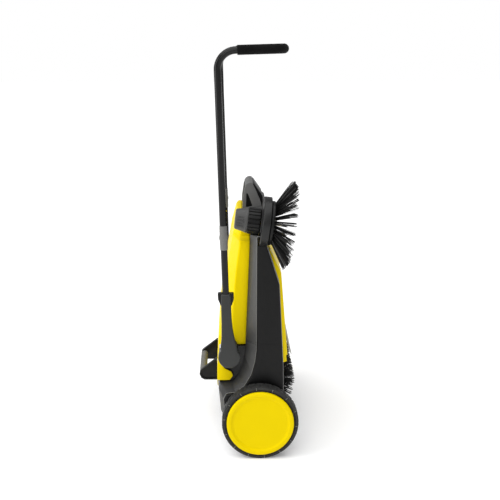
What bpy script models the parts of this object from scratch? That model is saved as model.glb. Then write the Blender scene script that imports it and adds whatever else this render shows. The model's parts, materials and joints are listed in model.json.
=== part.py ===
"""Walk behind sweeper with one side brush, parked upright on its wheels and its foot.

Metres, +Z up. +Z is also the machine's forward direction, +X is its underside and -Y its right side.
The origin is on the underside of the parking foot, midway between the wheels.
"""

import math

import bmesh
import bpy
import numpy as np
from mathutils import Matrix, Vector

# Driving dimensions
GAP = 0.0003
WALL = 0.003
FRAME_WALL = 0.005
WHEEL_RADIUS = 0.125
HUBCAP_RADIUS = 0.1096
ROLLER_X, ROLLER_Z = 0.010, 0.215
ROLLER_RADIUS = 0.112
ROLLER_HALF = 0.232
CORE_RADIUS = 0.030
FRAME_INNER_Y = 0.252
PLATE_OUTER_Y = 0.257
CHAMFER_Y = 0.262
LOBE_Y = 0.2635
COVER_INNER_Y = 0.303
COVER_OUTER_Y = 0.315
PIVOT_X, PIVOT_Z = -0.100, 0.350
HANDLE_Y = 0.348
ARM_INNER_Y = 0.332
ARM_OUTER_Y = 0.364
TUBE_RADIUS = 0.011
TUBE_BORE = 0.0095
HANDLE_LEAN = 0.0285
ARM_TOP_Z = 0.521
JOINT_Z = 0.741
GRIP_BACK_X, GRIP_BACK_Z = -0.1308, 1.303
GRIP_FRONT_X, GRIP_FRONT_Z = 0.0695, 1.309
GRIP_START_X = -0.071
GRIP_RADIUS = 0.0145
BRUSH_Y = -0.262
BRUSH_X, BRUSH_Z = 0.042, 0.768
BRUSH_TILT = math.radians(7.3)
DRUM_RADIUS = 0.082
GEAR_TEETH = {"drive_gear": 40, "roller_gear": 20}
BELT_RADIUS = 0.0025
BELT_Y = -0.280
WHEEL_PULLEY_RADIUS = 0.030
BRUSH_PULLEY_RADIUS = 0.016

AXLE = Vector((0.0, 0.0, WHEEL_RADIUS))
ROLLER = Vector((ROLLER_X, 0.0, ROLLER_Z))
PIVOT = Vector((PIVOT_X, 0.0, PIVOT_Z))
BRUSH = Vector((BRUSH_X, BRUSH_Y, BRUSH_Z))
BRUSH_AXIS = Vector((math.cos(BRUSH_TILT), 0.0, -math.sin(BRUSH_TILT)))
Y_AXIS = Vector((0.0, 1.0, 0.0))
SIDES = {"right": -1, "left": 1}
COLOURS = {
    "yellow": ((0.95, 0.76, 0.01), 0.35, 0.0),
    "black": ((0.022, 0.022, 0.022), 0.5, 0.0),
    "frame_grey": ((0.05, 0.05, 0.05), 0.45, 0.0),
    "grey": ((0.28, 0.28, 0.27), 0.5, 0.0),
    "tube_black": ((0.015, 0.015, 0.015), 0.3, 0.2),
    "rubber": ((0.03, 0.03, 0.03), 0.75, 0.0),
    "bristle": ((0.02, 0.02, 0.02), 0.8, 0.0),
    "steel": ((0.55, 0.55, 0.56), 0.3, 1.0),
    "foam": ((0.018, 0.018, 0.018), 0.85, 0.0),
}


def clear_scene():
    for obj in list(bpy.data.objects):
        bpy.data.objects.remove(obj, do_unlink=True)


def new_collection(name):
    collection = bpy.data.collections.new(name)
    bpy.context.scene.collection.children.link(collection)
    return collection


def new_material(name, colour, roughness, metallic):
    material = bpy.data.materials.new(name)
    material.use_nodes = True
    shader = material.node_tree.nodes["Principled BSDF"]
    shader.inputs["Base Color"].default_value = (*colour, 1.0)
    shader.inputs["Roughness"].default_value = roughness
    shader.inputs["Metallic"].default_value = metallic
    return material


clear_scene()
PARTS = new_collection("walk_behind_sweeper")
CUTTERS = new_collection("cutters")
MATERIALS = {name: new_material(name, *values) for name, values in COLOURS.items()}


# Building blocks


def settle(obj, colour):
    """Makes the evaluated shape the object's own mesh, in world space, closed and facing out."""
    bpy.context.view_layer.update()
    evaluated = obj.evaluated_get(bpy.context.evaluated_depsgraph_get())
    mesh = bpy.data.meshes.new_from_object(evaluated)
    mesh.transform(obj.matrix_world)
    shape = bmesh.new()
    shape.from_mesh(mesh)
    bmesh.ops.remove_doubles(shape, verts=shape.verts, dist=1e-6)
    bmesh.ops.recalc_face_normals(shape, faces=shape.faces)
    shape.to_mesh(mesh)
    shape.free()
    name = obj.name
    bpy.data.objects.remove(obj, do_unlink=True)
    mesh.materials.clear()
    mesh.materials.append(MATERIALS[colour])
    mesh.shade_smooth()
    mesh.set_sharp_from_angle(angle=math.radians(35))
    solid = bpy.data.objects.new(name, mesh)
    PARTS.objects.link(solid)
    return solid


def draft(name, data):
    obj = bpy.data.objects.new(name, data)
    PARTS.objects.link(obj)
    return obj


def box(name, low, high, colour="black"):
    shape = bmesh.new()
    size = [b - a for a, b in zip(low, high)]
    middle = [(a + b) / 2 for a, b in zip(low, high)]
    bmesh.ops.create_cube(shape, size=1, matrix=Matrix.Translation(middle) @ Matrix.Diagonal((*size, 1)))
    mesh = bpy.data.meshes.new(name)
    shape.to_mesh(mesh)
    shape.free()
    return settle(draft(name, mesh), colour)


def turned(name, profile, centre, axis=Y_AXIS, colour="black", steps=32):
    """A (radius, height) profile turned about the axis through centre; closed when it has a bore."""
    count = len(profile)
    edges = [(i, i + 1) for i in range(count - 1)]
    if all(radius > 0 for radius, _ in profile):
        edges.append((count - 1, 0))
    mesh = bpy.data.meshes.new(name)
    mesh.from_pydata([(radius, 0.0, height) for radius, height in profile], edges, [])
    obj = draft(name, mesh)
    turn = obj.modifiers.new("turn", "SCREW")
    turn.steps = turn.render_steps = steps
    turn.use_merge_vertices = True
    turn.merge_threshold = 1e-5
    obj.rotation_mode = "QUATERNION"
    obj.rotation_quaternion = axis.to_track_quat("Z", "Y")
    obj.location = centre
    return settle(obj, colour)


def ring(name, bore, radius, low, high, centre, axis=Y_AXIS, colour="black", steps=24):
    profile = [(radius, high), (radius, low), (bore, low), (bore, high)]
    if not bore:
        profile = [(0, high), (radius, high), (radius, low), (0, low)]
    return turned(name, profile, centre, axis, colour, steps)


def flat(name, outline, y_from, y_to, colour="black", bevel=0.0):
    """A flat piece: an outline of (x, z) points, as thick as the two y say."""
    curve = bpy.data.curves.new(name, "CURVE")
    curve.dimensions = "2D"
    curve.fill_mode = "BOTH"
    curve.extrude = abs(y_to - y_from) / 2
    line = curve.splines.new("POLY")
    line.points.add(len(outline) - 1)
    line.use_cyclic_u = True
    for point, (x, z) in zip(line.points, outline):
        point.co = (x, z, 0.0, 1.0)
    obj = draft(name, curve)
    obj.rotation_euler = (math.radians(90), 0.0, 0.0)
    obj.location = (0.0, (y_from + y_to) / 2, 0.0)
    solid = settle(obj, colour)
    if bevel:
        edge = solid.modifiers.new("rounded_edges", "BEVEL")
        edge.width = bevel
        edge.segments = 2
        edge.limit_method = "ANGLE"
        edge.angle_limit = math.radians(40)
        solid = settle(solid, colour)
    return solid


def sheet(name, path, half_width, thickness, colour="black"):
    """A sheet bent along an (x, z) path, twice half_width wide, thickened to the right of the path."""
    points = [(x, side * half_width, z) for x, z in path for side in (-1, 1)]
    faces = [(2 * i, 2 * i + 1, 2 * i + 3, 2 * i + 2) for i in range(len(path) - 1)]
    mesh = bpy.data.meshes.new(name)
    mesh.from_pydata(points, [], faces)
    obj = draft(name, mesh)
    solid = obj.modifiers.new("thickness", "SOLIDIFY")
    solid.thickness = thickness
    solid.offset = 1
    solid.use_even_offset = True
    return settle(obj, colour)


def loft(name, sections, colour="black"):
    """A closed solid through sections with the same number of points each, capped at both ends."""
    shape = bmesh.new()
    loops = [[shape.verts.new(point) for point in section] for section in sections]
    for lower, upper in zip(loops, loops[1:]):
        for i in range(len(lower)):
            j = (i + 1) % len(lower)
            shape.faces.new((lower[i], lower[j], upper[j], upper[i]))
    shape.faces.new(loops[0])
    shape.faces.new(loops[-1])
    mesh = bpy.data.meshes.new(name)
    shape.to_mesh(mesh)
    shape.free()
    return settle(draft(name, mesh), colour)


def rounded_path(corners, radii, steps=4):
    """The corner points with each inner corner replaced by an arc of its radius."""
    corners = [Vector(corner) for corner in corners]
    path = [corners[0]]
    for before, corner, after, radius in zip(corners, corners[1:], corners[2:], radii):
        into = (before - corner).normalized()
        out = (after - corner).normalized()
        half = into.angle(out) / 2
        reach = radius / math.tan(half)
        centre = corner + (into + out).normalized() * radius / math.sin(half)
        start = (corner + into * reach - centre).normalized()
        end = (corner + out * reach - centre).normalized()
        path += [centre + start.slerp(end, i / steps) * radius for i in range(steps + 1)]
    return [*path, corners[-1]]


def rod(name, path, radius, colour="black", resolution=4, closed=False):
    """A round bar along a path."""
    curve = bpy.data.curves.new(name, "CURVE")
    curve.dimensions = "3D"
    curve.bevel_depth = radius
    curve.bevel_resolution = resolution
    curve.use_fill_caps = True
    line = curve.splines.new("POLY")
    line.points.add(len(path) - 1)
    line.use_cyclic_u = closed
    for point, place in zip(line.points, path):
        point.co = (*place, 1.0)
    return settle(draft(name, curve), colour)


def boolean(obj, other, operation):
    change = obj.modifiers.new(f"{operation.lower()}_{other.name}", "BOOLEAN")
    change.operation = operation
    change.object = other
    PARTS.objects.unlink(other)
    CUTTERS.objects.link(other)
    other.hide_render = True
    other.display_type = "WIRE"


def cut(obj, cutter):
    boolean(obj, cutter, "DIFFERENCE")


def join(obj, other):
    boolean(obj, other, "UNION")


def inset(outline, distance):
    """The closed outline with each edge moved inwards by distance."""
    count = len(outline)
    area = sum(a[0] * b[1] - b[0] * a[1] for a, b in zip(outline, outline[1:] + outline[:1]))
    turn = math.copysign(1, area)
    moved = []
    for i in range(count):
        before, here, after = (Vector(outline[(i + k) % count]) for k in (-1, 0, 1))
        into = (here - before).normalized()
        out = (after - here).normalized()
        normals = [Vector((-turn * edge.y, turn * edge.x)) for edge in (into, out)]
        middle = (normals[0] + normals[1]).normalized()
        moved.append(tuple(here + middle * distance / max(0.3, middle.dot(normals[0]))))
    return moved


def arc(centre, radius, start, end, steps):
    """Points on a circle, its angles in degrees."""
    angles = [math.radians(start + (end - start) * i / steps) for i in range(steps + 1)]
    return [(centre[0] + radius * math.cos(a), centre[1] + radius * math.sin(a)) for a in angles]


def handle_x(z):
    """The x of the push handle's tubes at a height: they lean back a little."""
    return -0.1085 - HANDLE_LEAN * (z - 0.52)


def on_brush(along, across=0.0, sideways=0.0):
    """A point by its distance along the brush axis, up across it, and sideways."""
    up = Vector((math.sin(BRUSH_TILT), 0.0, math.cos(BRUSH_TILT)))
    return BRUSH + BRUSH_AXIS * along + up * across + Y_AXIS * sideways


def mirrored(side, near, far):
    """The two y of a piece on one side, from its distances to the middle."""
    return sorted((side * near, side * far))


# Outlines of the chassis side, as (x, z) points: FOOTPRINT is the wider one next to the container,
# FACE the outer one, and the sloping strip between them is what shows beside the hood.

FOOTPRINT = [
    (-0.030, 0.735),
    (0.012, 0.735),
    (0.063, 0.578),
    (0.077, 0.306),
    (0.079, 0.218),
    (0.078, 0.120),
    (0.060, 0.066),
    (0.030, 0.046),
    (-0.060, 0.046),
    (-0.105, 0.075),
    (-0.1285, 0.123),
    (-0.136, 0.205),
    (-0.134, 0.231),
    (-0.090, 0.231),
    (-0.074, 0.250),
    (-0.056, 0.290),
    (-0.049, 0.325),
    (-0.046, 0.356),
]
FACE = [
    (-0.010, 0.7335),
    (0.0110, 0.7335),
    (0.0622, 0.576),
    (0.0762, 0.306),
    (0.0782, 0.218),
    (0.0765, 0.122),
    (0.055, 0.070),
    (0.027, 0.052),
    (-0.058, 0.052),
    (-0.098, 0.080),
    (-0.115, 0.130),
    (-0.120, 0.185),
    (-0.110, 0.203),
    (-0.080, 0.207),
    (-0.052, 0.228),
    (-0.028, 0.270),
    (-0.016, 0.315),
    (-0.011, 0.356),
]
RECESS = [
    (-0.130, 0.222),
    (-0.132, 0.262),
    (-0.131, 0.345),
    (-0.115, 0.352),
    (-0.040, 0.352),
    (-0.030, 0.300),
    (-0.040, 0.222),
]
# Hood sections: z, x of the crown, x of the fold, x of the lower edge, half width, half of the crown.
HOOD = [
    (0.165, -0.1415, -0.1400, -0.1385, 0.150, 0.140),
    (0.200, -0.1420, -0.1402, -0.1385, 0.225, 0.170),
    (0.235, -0.1420, -0.1402, -0.1385, 0.267, 0.170),
    (0.296, -0.1400, -0.1385, -0.1365, 0.267, 0.170),
    (0.346, -0.1365, -0.1350, -0.1330, 0.262, 0.165),
    (0.350, -0.1363, -0.1348, -0.1328, 0.245, 0.165),
    (0.354, -0.1360, -0.0960, -0.0460, 0.245, 0.165),
    (0.485, -0.1240, -0.0880, -0.0410, 0.245, 0.160),
    (0.600, -0.1055, -0.0780, -0.0365, 0.245, 0.155),
    (0.692, -0.0890, -0.0660, -0.0325, 0.245, 0.150),
    (0.706, -0.0865, -0.0650, -0.0320, 0.243, 0.148),
    (0.712, -0.0850, -0.0630, -0.0320, 0.198, 0.140),
    (0.745, -0.0765, -0.0600, -0.0360, 0.185, 0.125),
    (0.765, -0.0725, -0.0605, -0.0450, 0.150, 0.105),
    (0.774, -0.0690, -0.0630, -0.0560, 0.115, 0.085),
]
DEEP_HOOD = HOOD[6:]
# Tub sections: z, x of the floor, half width. Its upper edge meets the hood's lower one.
TUB = [
    (0.287, 0.0978, 0.243),
    (0.308, 0.096, 0.243),
    (0.438, 0.085, 0.243),
    (0.593, 0.073, 0.243),
    (0.672, 0.036, 0.243),
    (0.684, -0.002, 0.243),
    (0.690, -0.010, 0.196),
    (0.757, -0.0325, 0.180),
]
TUB_EDGE_GAP = 0.0005
TUB_CORNER = 0.014
EAR_Y = 0.2335
MOUTH_Z = 0.308


# Chassis


def belt_path():
    """Round the wheel's pulley, up to the brush's pulley with a quarter turn, and back."""
    wheel = AXLE + Y_AXIS * BELT_Y
    lower = arc((wheel.x, wheel.z), WHEEL_PULLEY_RADIUS, 0, -180, 14)
    path = [Vector((x, wheel.y, z)) for x, z in lower]
    for y, up in arc((0, 0), BRUSH_PULLEY_RADIUS, 180, 0, 10):
        path.append(on_brush(-0.024, up, y))
    return path


def side_frame(side_name):
    side = SIDES[side_name]
    heights = ((FRAME_INNER_Y, FOOTPRINT), (CHAMFER_Y, FOOTPRINT), (COVER_INNER_Y - GAP, FACE))
    sections = [[(x, side * y, z) for x, z in outline] for y, outline in heights]
    frame = loft(f"side_frame_{side_name}", sections, "frame_grey")
    hollow = ((PLATE_OUTER_Y, FOOTPRINT), (CHAMFER_Y, FOOTPRINT), (COVER_INNER_Y + 0.002, FACE))
    sections = [[(x, side * y, z) for x, z in inset(outline, FRAME_WALL)] for y, outline in hollow]
    cut(frame, loft(f"frame_hollow_{side_name}", sections))
    plate_y = mirrored(side, FRAME_INNER_Y + 0.001, PLATE_OUTER_Y - 0.0005)
    join(frame, flat(f"frame_recess_{side_name}", RECESS, *plate_y))
    boss_y = mirrored(side, FRAME_INNER_Y + 0.002, ARM_INNER_Y - 0.0005)
    join(frame, ring(f"frame_boss_{side_name}", 0, 0.026, *boss_y, PIVOT))
    through = mirrored(side, 0.240, 0.345)
    cut(frame, ring(f"pin_hole_{side_name}", 0, 0.0084, *through, PIVOT))
    inner = mirrored(side, 0.240, 0.275)
    cut(frame, ring(f"bearing_hole_{side_name}", 0, 0.0203, *inner, ROLLER))
    cut(frame, ring(f"axle_hole_{side_name}", 0, 0.0103, *inner, AXLE))
    return frame


def side_cover(side_name):
    side = SIDES[side_name]
    cover_y = mirrored(side, COVER_INNER_Y, COVER_OUTER_Y)
    cover = flat(f"side_cover_{side_name}", inset(FACE, 0.001), *cover_y, bevel=0.003)
    hole_y = mirrored(side, 0.290, 0.330)
    cut(cover, ring(f"hub_hole_{side_name}", 0, 0.0215, *hole_y, AXLE))
    return cover


def make_chassis():
    pieces = []
    for side_name in SIDES:
        pieces.append(side_frame(side_name))
        pieces.append(side_cover(side_name))
    members = [pieces[0], pieces[1]]
    shell = [(-0.116, 0.318), (-0.130, 0.262), (-0.132, 0.205), (-0.1245, 0.125), (-0.103, 0.092)]
    shell += [(-0.060, 0.076), (0.0, 0.072), (0.036, 0.086)]
    half = FRAME_INNER_Y - GAP
    pieces.append(sheet("rear_housing", shell, half, 0.004))
    front = [(-0.035, 0.764), (-0.035, 0.778), (0.010, 0.786)]
    front += [(0.030, 0.776), (0.038, 0.735), (0.036, 0.690)]
    member = sheet("front_cross_member", front, half, 0.004)
    for obj in (*members, member):
        name = f"room_for_drum_{obj.name}"
        stem, rim = 0.0455, DRUM_RADIUS + 0.0005
        profile = [(0, -0.150), (stem, -0.150), (stem, -0.0408), (rim, -0.0408), (rim, 0.060), (0, 0.060)]
        cut(obj, turned(name, profile, BRUSH, BRUSH_AXIS))
    cut(members[0], box("belt_slot", (0.0, -0.2615, 0.480), (0.034, -0.245, 0.700)))
    pieces.append(member)
    pieces.append(carry_handle())
    pieces.append(parking_foot())
    lip = [(0.0390, 0.0790), (0.105, 0.0700), (0.105, 0.0730), (0.0390, 0.0830)]
    pieces.append(flat("rear_seal", lip, -0.245, 0.245, "rubber"))
    pieces.append(brush_drum())
    for side_name, side in SIDES.items():
        axle_y = mirrored(side, FRAME_INNER_Y + 0.0005, 0.357)
        pieces.append(ring(f"axle_{side_name}", 0, 0.010, *axle_y, AXLE, colour="steel"))
        pin_y = mirrored(side, FRAME_INNER_Y + 0.0005, 0.3575)
        pieces.append(ring(f"handle_pin_{side_name}", 0, 0.008, *pin_y, PIVOT, colour="steel"))
        bearing_y = mirrored(side, FRAME_INNER_Y + 0.0005, 0.2635)
        name = f"roller_bearing_{side_name}"
        pieces.append(ring(name, 0.0083, 0.020, *bearing_y, ROLLER, colour="grey"))
    pieces.append(rod("drive_belt", belt_path(), BELT_RADIUS, "rubber", resolution=2, closed=True))
    return pieces


def carry_handle():
    outer = [(-0.0525, 0.7788), (-0.0515, 0.805), (-0.0455, 0.846), (-0.0385, 0.863), (-0.029, 0.869)]
    outer += [(-0.0165, 0.8685), (-0.003, 0.850), (0.0165, 0.822), (0.0172, 0.796), (0.015, 0.7876)]
    outer += [(0.010, 0.7868), (-0.035, 0.7788)]
    handle = flat("carry_handle", outer, -0.075, 0.075, "frame_grey", bevel=0.002)
    window = [(-0.0405, 0.7835), (-0.0385, 0.838), (-0.031, 0.824), (-0.0180, 0.7870)]
    cut(handle, flat("handle_window", window, -0.080, 0.080))
    gap = [(-0.070, 0.770), (0.006, 0.770), (0.0085, 0.815), (-0.013, 0.840)]
    gap += [(-0.020, 0.856), (-0.034, 0.857), (-0.070, 0.845)]
    cut(handle, flat("handle_finger_gap", gap, -0.062, 0.062))
    return handle


def parking_foot():
    foot = flat("parking_foot", [(-0.072, 0), (0.030, 0), (0.024, 0.066), (-0.052, 0.066)], -0.160, 0.160)
    hollow = [(-0.066, 0.005), (0.024, 0.005), (0.018, 0.080), (-0.046, 0.080)]
    cut(foot, flat("foot_hollow", hollow, -0.155, 0.155))
    return foot


def brush_drum():
    inside = DRUM_RADIUS - 0.004
    profile = [(DRUM_RADIUS, -0.012), (DRUM_RADIUS, -0.036), (DRUM_RADIUS - 0.002, -0.038)]
    profile += [(0.040, -0.038), (0.040, -0.0405), (0.0068, -0.0405), (0.0068, -0.034)]
    profile += [(inside, -0.034), (inside, -0.012)]
    drum = turned("brush_drum", profile, BRUSH, BRUSH_AXIS)
    cut(drum, box("drum_belt_slot", (-0.0015, -0.290, 0.665), (0.030, -0.234, 0.715)))
    return drum


# Wheels and main roller


def wheel(side_name):
    side = SIDES[side_name]

    def part(name, profile, colour, steps=32):
        """The profile's heights are distances from the machine's middle, outwards."""
        heights = [(radius, side * y) for radius, y in profile]
        return turned(f"{name}_{side_name}", heights, AXLE, colour=colour, steps=steps)

    cap = [(0, 0.3715), (0.060, 0.3705), (0.090, 0.3715), (0.099, 0.3745), (0.106, 0.375)]
    cap += [(HUBCAP_RADIUS, 0.373), (HUBCAP_RADIUS, 0.364), (0.104, 0.364), (0.104, 0.3665), (0, 0.3665)]
    hub = [(0.018, 0.268), (0.018, 0.330), (0.030, 0.336), (0.1075, 0.340), (0.1075, 0.330), (0.1115, 0.330)]
    hub += [(0.1115, 0.3635), (0.1075, 0.3635), (0.1075, 0.346), (0.030, 0.346), (0.018, 0.360), (0.0124, 0.360)]
    hub += [(0.0124, 0.268)]
    tyre = [(0.1118, 0.328), (0.122, 0.326), (WHEEL_RADIUS, 0.329), (WHEEL_RADIUS, 0.364)]
    tyre += [(0.122, 0.367), (0.1118, 0.366)]
    bush = [(0.0102, 0.300), (0.0121, 0.300), (0.0121, 0.358), (0.0102, 0.358)]
    return [
        part("hub_cap", cap, "yellow"),
        part("wheel_hub", hub, "black"),
        part("tyre", tyre, "rubber"),
        part("wheel_bush", bush, "grey", 24),
    ]


def gear(name, module, centre, bore, phase):
    """A spur gear in the side frame, with a tooth centred at the phase angle."""
    teeth = GEAR_TEETH[name]
    pitch = 360 / teeth
    radius = module * teeth / 2
    outline = []
    for tooth in range(teeth):
        for offset, reach in ((-0.31, -1.1), (-0.11, 0.8), (0.11, 0.8), (0.31, -1.1)):
            angle = math.radians(phase + (tooth + offset) * pitch)
            size = radius + reach * module
            outline.append((centre.x + size * math.cos(angle), centre.z + size * math.sin(angle)))
    wheel_gear = flat(name, outline, -0.300, -0.288, "grey")
    cut(wheel_gear, ring(f"{name}_bore", 0, bore, -0.310, -0.280, centre))
    return wheel_gear


def make_wheels_and_roller():
    offset = ROLLER - AXLE
    module = 2 * offset.length / sum(GEAR_TEETH.values())
    towards_roller = math.degrees(math.atan2(offset.z, offset.x))
    right = wheel("right")
    right.append(gear("drive_gear", module, AXLE, 0.0183, towards_roller))
    rim = WHEEL_PULLEY_RADIUS - BELT_RADIUS - 2 * GAP
    groove = [(rim + 0.004, 0.2845), (rim + 0.004, 0.2835), (rim, 0.2828), (rim, 0.2772)]
    groove += [(rim + 0.004, 0.2765), (rim + 0.004, 0.2755), (0.0183, 0.2755), (0.0183, 0.2845)]
    profile = [(radius, -y) for radius, y in groove]
    right.append(turned("wheel_pulley", profile, AXLE, colour="grey", steps=24))
    half_pitch = 180 / GEAR_TEETH["roller_gear"]
    shaft = [(0, -0.3005), (0.008, -0.3005), (0.008, -0.240), (CORE_RADIUS, -0.240), (CORE_RADIUS, 0.240)]
    shaft += [(0.008, 0.240), (0.008, 0.262), (0, 0.262)]
    coat = [(ROLLER_RADIUS, ROLLER_HALF), (ROLLER_RADIUS, -ROLLER_HALF)]
    coat += [(CORE_RADIUS + GAP, -ROLLER_HALF), (CORE_RADIUS + GAP, ROLLER_HALF)]
    roller = [
        turned("roller_core", shaft, ROLLER, colour="grey"),
        turned("roller_bristles", coat, ROLLER, colour="bristle"),
        gear("roller_gear", module, ROLLER, 0.0083, towards_roller + 180 + half_pitch),
    ]
    return right, wheel("left"), roller


# Side brush and its height adjuster


def make_side_brush():
    hub = [(0.0065, -0.0145), (0.013, -0.0145), (0.013, -0.0105), (0.070, -0.0105), (0.071, -0.009)]
    hub += [(0.071, -0.001), (0.070, 0.0), (0.0065, 0.0)]
    fan = [(0.044, GAP), (0.0705, GAP), (0.150, 0.048), (0.119, 0.0685)]
    groove = BRUSH_PULLEY_RADIUS - BELT_RADIUS - 3 * GAP
    return [
        turned("brush_hub", hub, BRUSH, BRUSH_AXIS),
        turned("brush_bristles", fan, BRUSH, BRUSH_AXIS, "bristle"),
        ring("brush_pulley", 0.0065, groove, -0.0335, -0.0148, BRUSH, BRUSH_AXIS, "grey", 20),
    ]


def make_brush_carrier():
    return [
        ring("brush_spindle", 0, 0.006, -0.105, 0.030, BRUSH, BRUSH_AXIS, "steel", 24),
        ring("spindle_nut", 0.0072, 0.0125, 0.0006, 0.012, BRUSH, BRUSH_AXIS, "grey", 6),
    ]


def make_adjuster():
    cap = [(0, -0.122), (0.030, -0.122), (0.033, -0.119), (0.0405, -0.086), (0.0405, -0.081)]
    cap += [(0.0066, -0.081), (0.0066, -0.107), (0, -0.107)]
    flutes = 20
    outline = []
    for flute in range(flutes):
        for offset, radius in ((-0.30, 0.0398), (-0.22, 0.0425), (0.22, 0.0425), (0.30, 0.0398)):
            angle = math.tau * (flute + offset) / flutes
            outline.append((radius * math.cos(angle), radius * math.sin(angle)))
    grip = flat("adjuster_ring", outline, -0.0193, 0.0193)
    middle = Matrix.Translation(on_brush(-0.0614))
    grip.data.transform(middle @ Y_AXIS.rotation_difference(BRUSH_AXIS).to_matrix().to_4x4())
    cut(grip, ring("adjuster_bore", 0, 0.0066, -0.090, -0.035, BRUSH, BRUSH_AXIS))
    return [turned("adjuster_cap", cap, BRUSH, BRUSH_AXIS, "grey"), grip]


# Waste container


def hood_sections(rows, wall=0.0):
    """Closed sections of the hood; with a wall, those of the hollow inside it, open underneath."""
    sections = []
    for z, crown, fold, edge, half, flat_half in rows:
        below = edge + (0.010 if wall else 0.0)
        right = [(below, half - wall), (fold + wall / 2, half - wall - 0.001), (crown + wall, flat_half)]
        outline = [(x, -y) for x, y in right] + [(x, y) for x, y in reversed(right)]
        sections.append([(x, y, z) for x, y in outline])
    return sections


def tub_sections(wall=0.0, low=TUB[0][0], high=TUB[-1][0]):
    """Closed sections of the tub; with a wall, those of the hollow inside it, open above."""
    sections = []
    hood_z = [row[0] for row in DEEP_HOOD]
    hood_edge = [row[3] for row in DEEP_HOOD]
    tub_z, floors, halves = zip(*TUB)
    heights = {low, high, *(z for z in (*hood_z, *tub_z) if low < z < high)}
    for z in sorted(heights):
        edge = float(np.interp(z, hood_z, hood_edge)) + TUB_EDGE_GAP
        floor = float(np.interp(z, tub_z, floors))
        half = float(np.interp(z, tub_z, halves))
        above = edge - (0.010 if wall else 0.0)
        deep = floor - wall
        corner = min(TUB_CORNER, (floor - edge) / 2)
        right = [(above, half - wall), (deep - corner, half - wall), (deep, half - wall - corner)]
        outline = [(x, -y) for x, y in right] + [(x, y) for x, y in reversed(right)]
        sections.append([(x, y, z) for x, y in outline])
    return sections


def make_container():
    hood = loft("container_hood", hood_sections(HOOD), "yellow")
    lowered = [(z - WALL, *rest) for z, *rest in DEEP_HOOD]
    inner = [(0.320, *DEEP_HOOD[0][1:]), *DEEP_HOOD[:4], *lowered[4:6], DEEP_HOOD[6], lowered[7]]
    cut(hood, loft("hood_hollow", hood_sections(inner, WALL)))
    lobe = [(-0.1400, 0.2355), (-0.100, 0.2355), (-0.088, 0.250), (-0.094, 0.264), (-0.115, 0.275)]
    lobe += [(-0.128, 0.292), (-0.1370, 0.312)]
    for side_name, side in SIDES.items():
        join(hood, flat(f"hood_lobe_{side_name}", lobe, *mirrored(side, LOBE_Y, LOBE_Y + 0.0035)))
    tub = loft("container_tub", tub_sections(), "yellow")
    cut(tub, loft("tub_hollow", tub_sections(WALL, TUB[0][0] - 0.020, TUB[4][0] - WALL)))
    cut(tub, box("roller_room", (-0.100, -EAR_Y, 0.250), (0.120, EAR_Y, MOUTH_Z)))
    cut(tub, box("ear_front", (-0.110, -0.260, 0.240), (0.030, 0.260, MOUTH_Z + GAP)))
    mouth = [(0.0965, 0.345), (0.100, 0.345), (0.111, 0.305), (0.108, 0.305), (0.0980, 0.330)]
    return [hood, tub, flat("container_lip", mouth, -0.215, 0.215, "rubber"), *container_handle()]


def container_handle():
    arm = [(-0.1428, 0.170), (-0.1428, 0.250), (-0.190, 0.214), (-0.203, 0.204), (-0.206, 0.191)]
    arm += [(-0.200, 0.177), (-0.188, 0.170)]
    bar = Vector((-0.193, 0.0, 0.194))
    yoke = flat("container_yoke", arm, -0.108, -0.090)
    join(yoke, flat("yoke_far_arm", arm, 0.090, 0.108))
    join(yoke, ring("yoke_bar", 0, 0.0085, -0.100, 0.100, bar, steps=16))
    return [yoke, ring("container_grip", 0.0089, 0.0125, -0.0895, 0.0895, bar, colour="black")]


# Push handle


def handle_point(side, z):
    return Vector((handle_x(z), side * HANDLE_Y, z))


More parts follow.
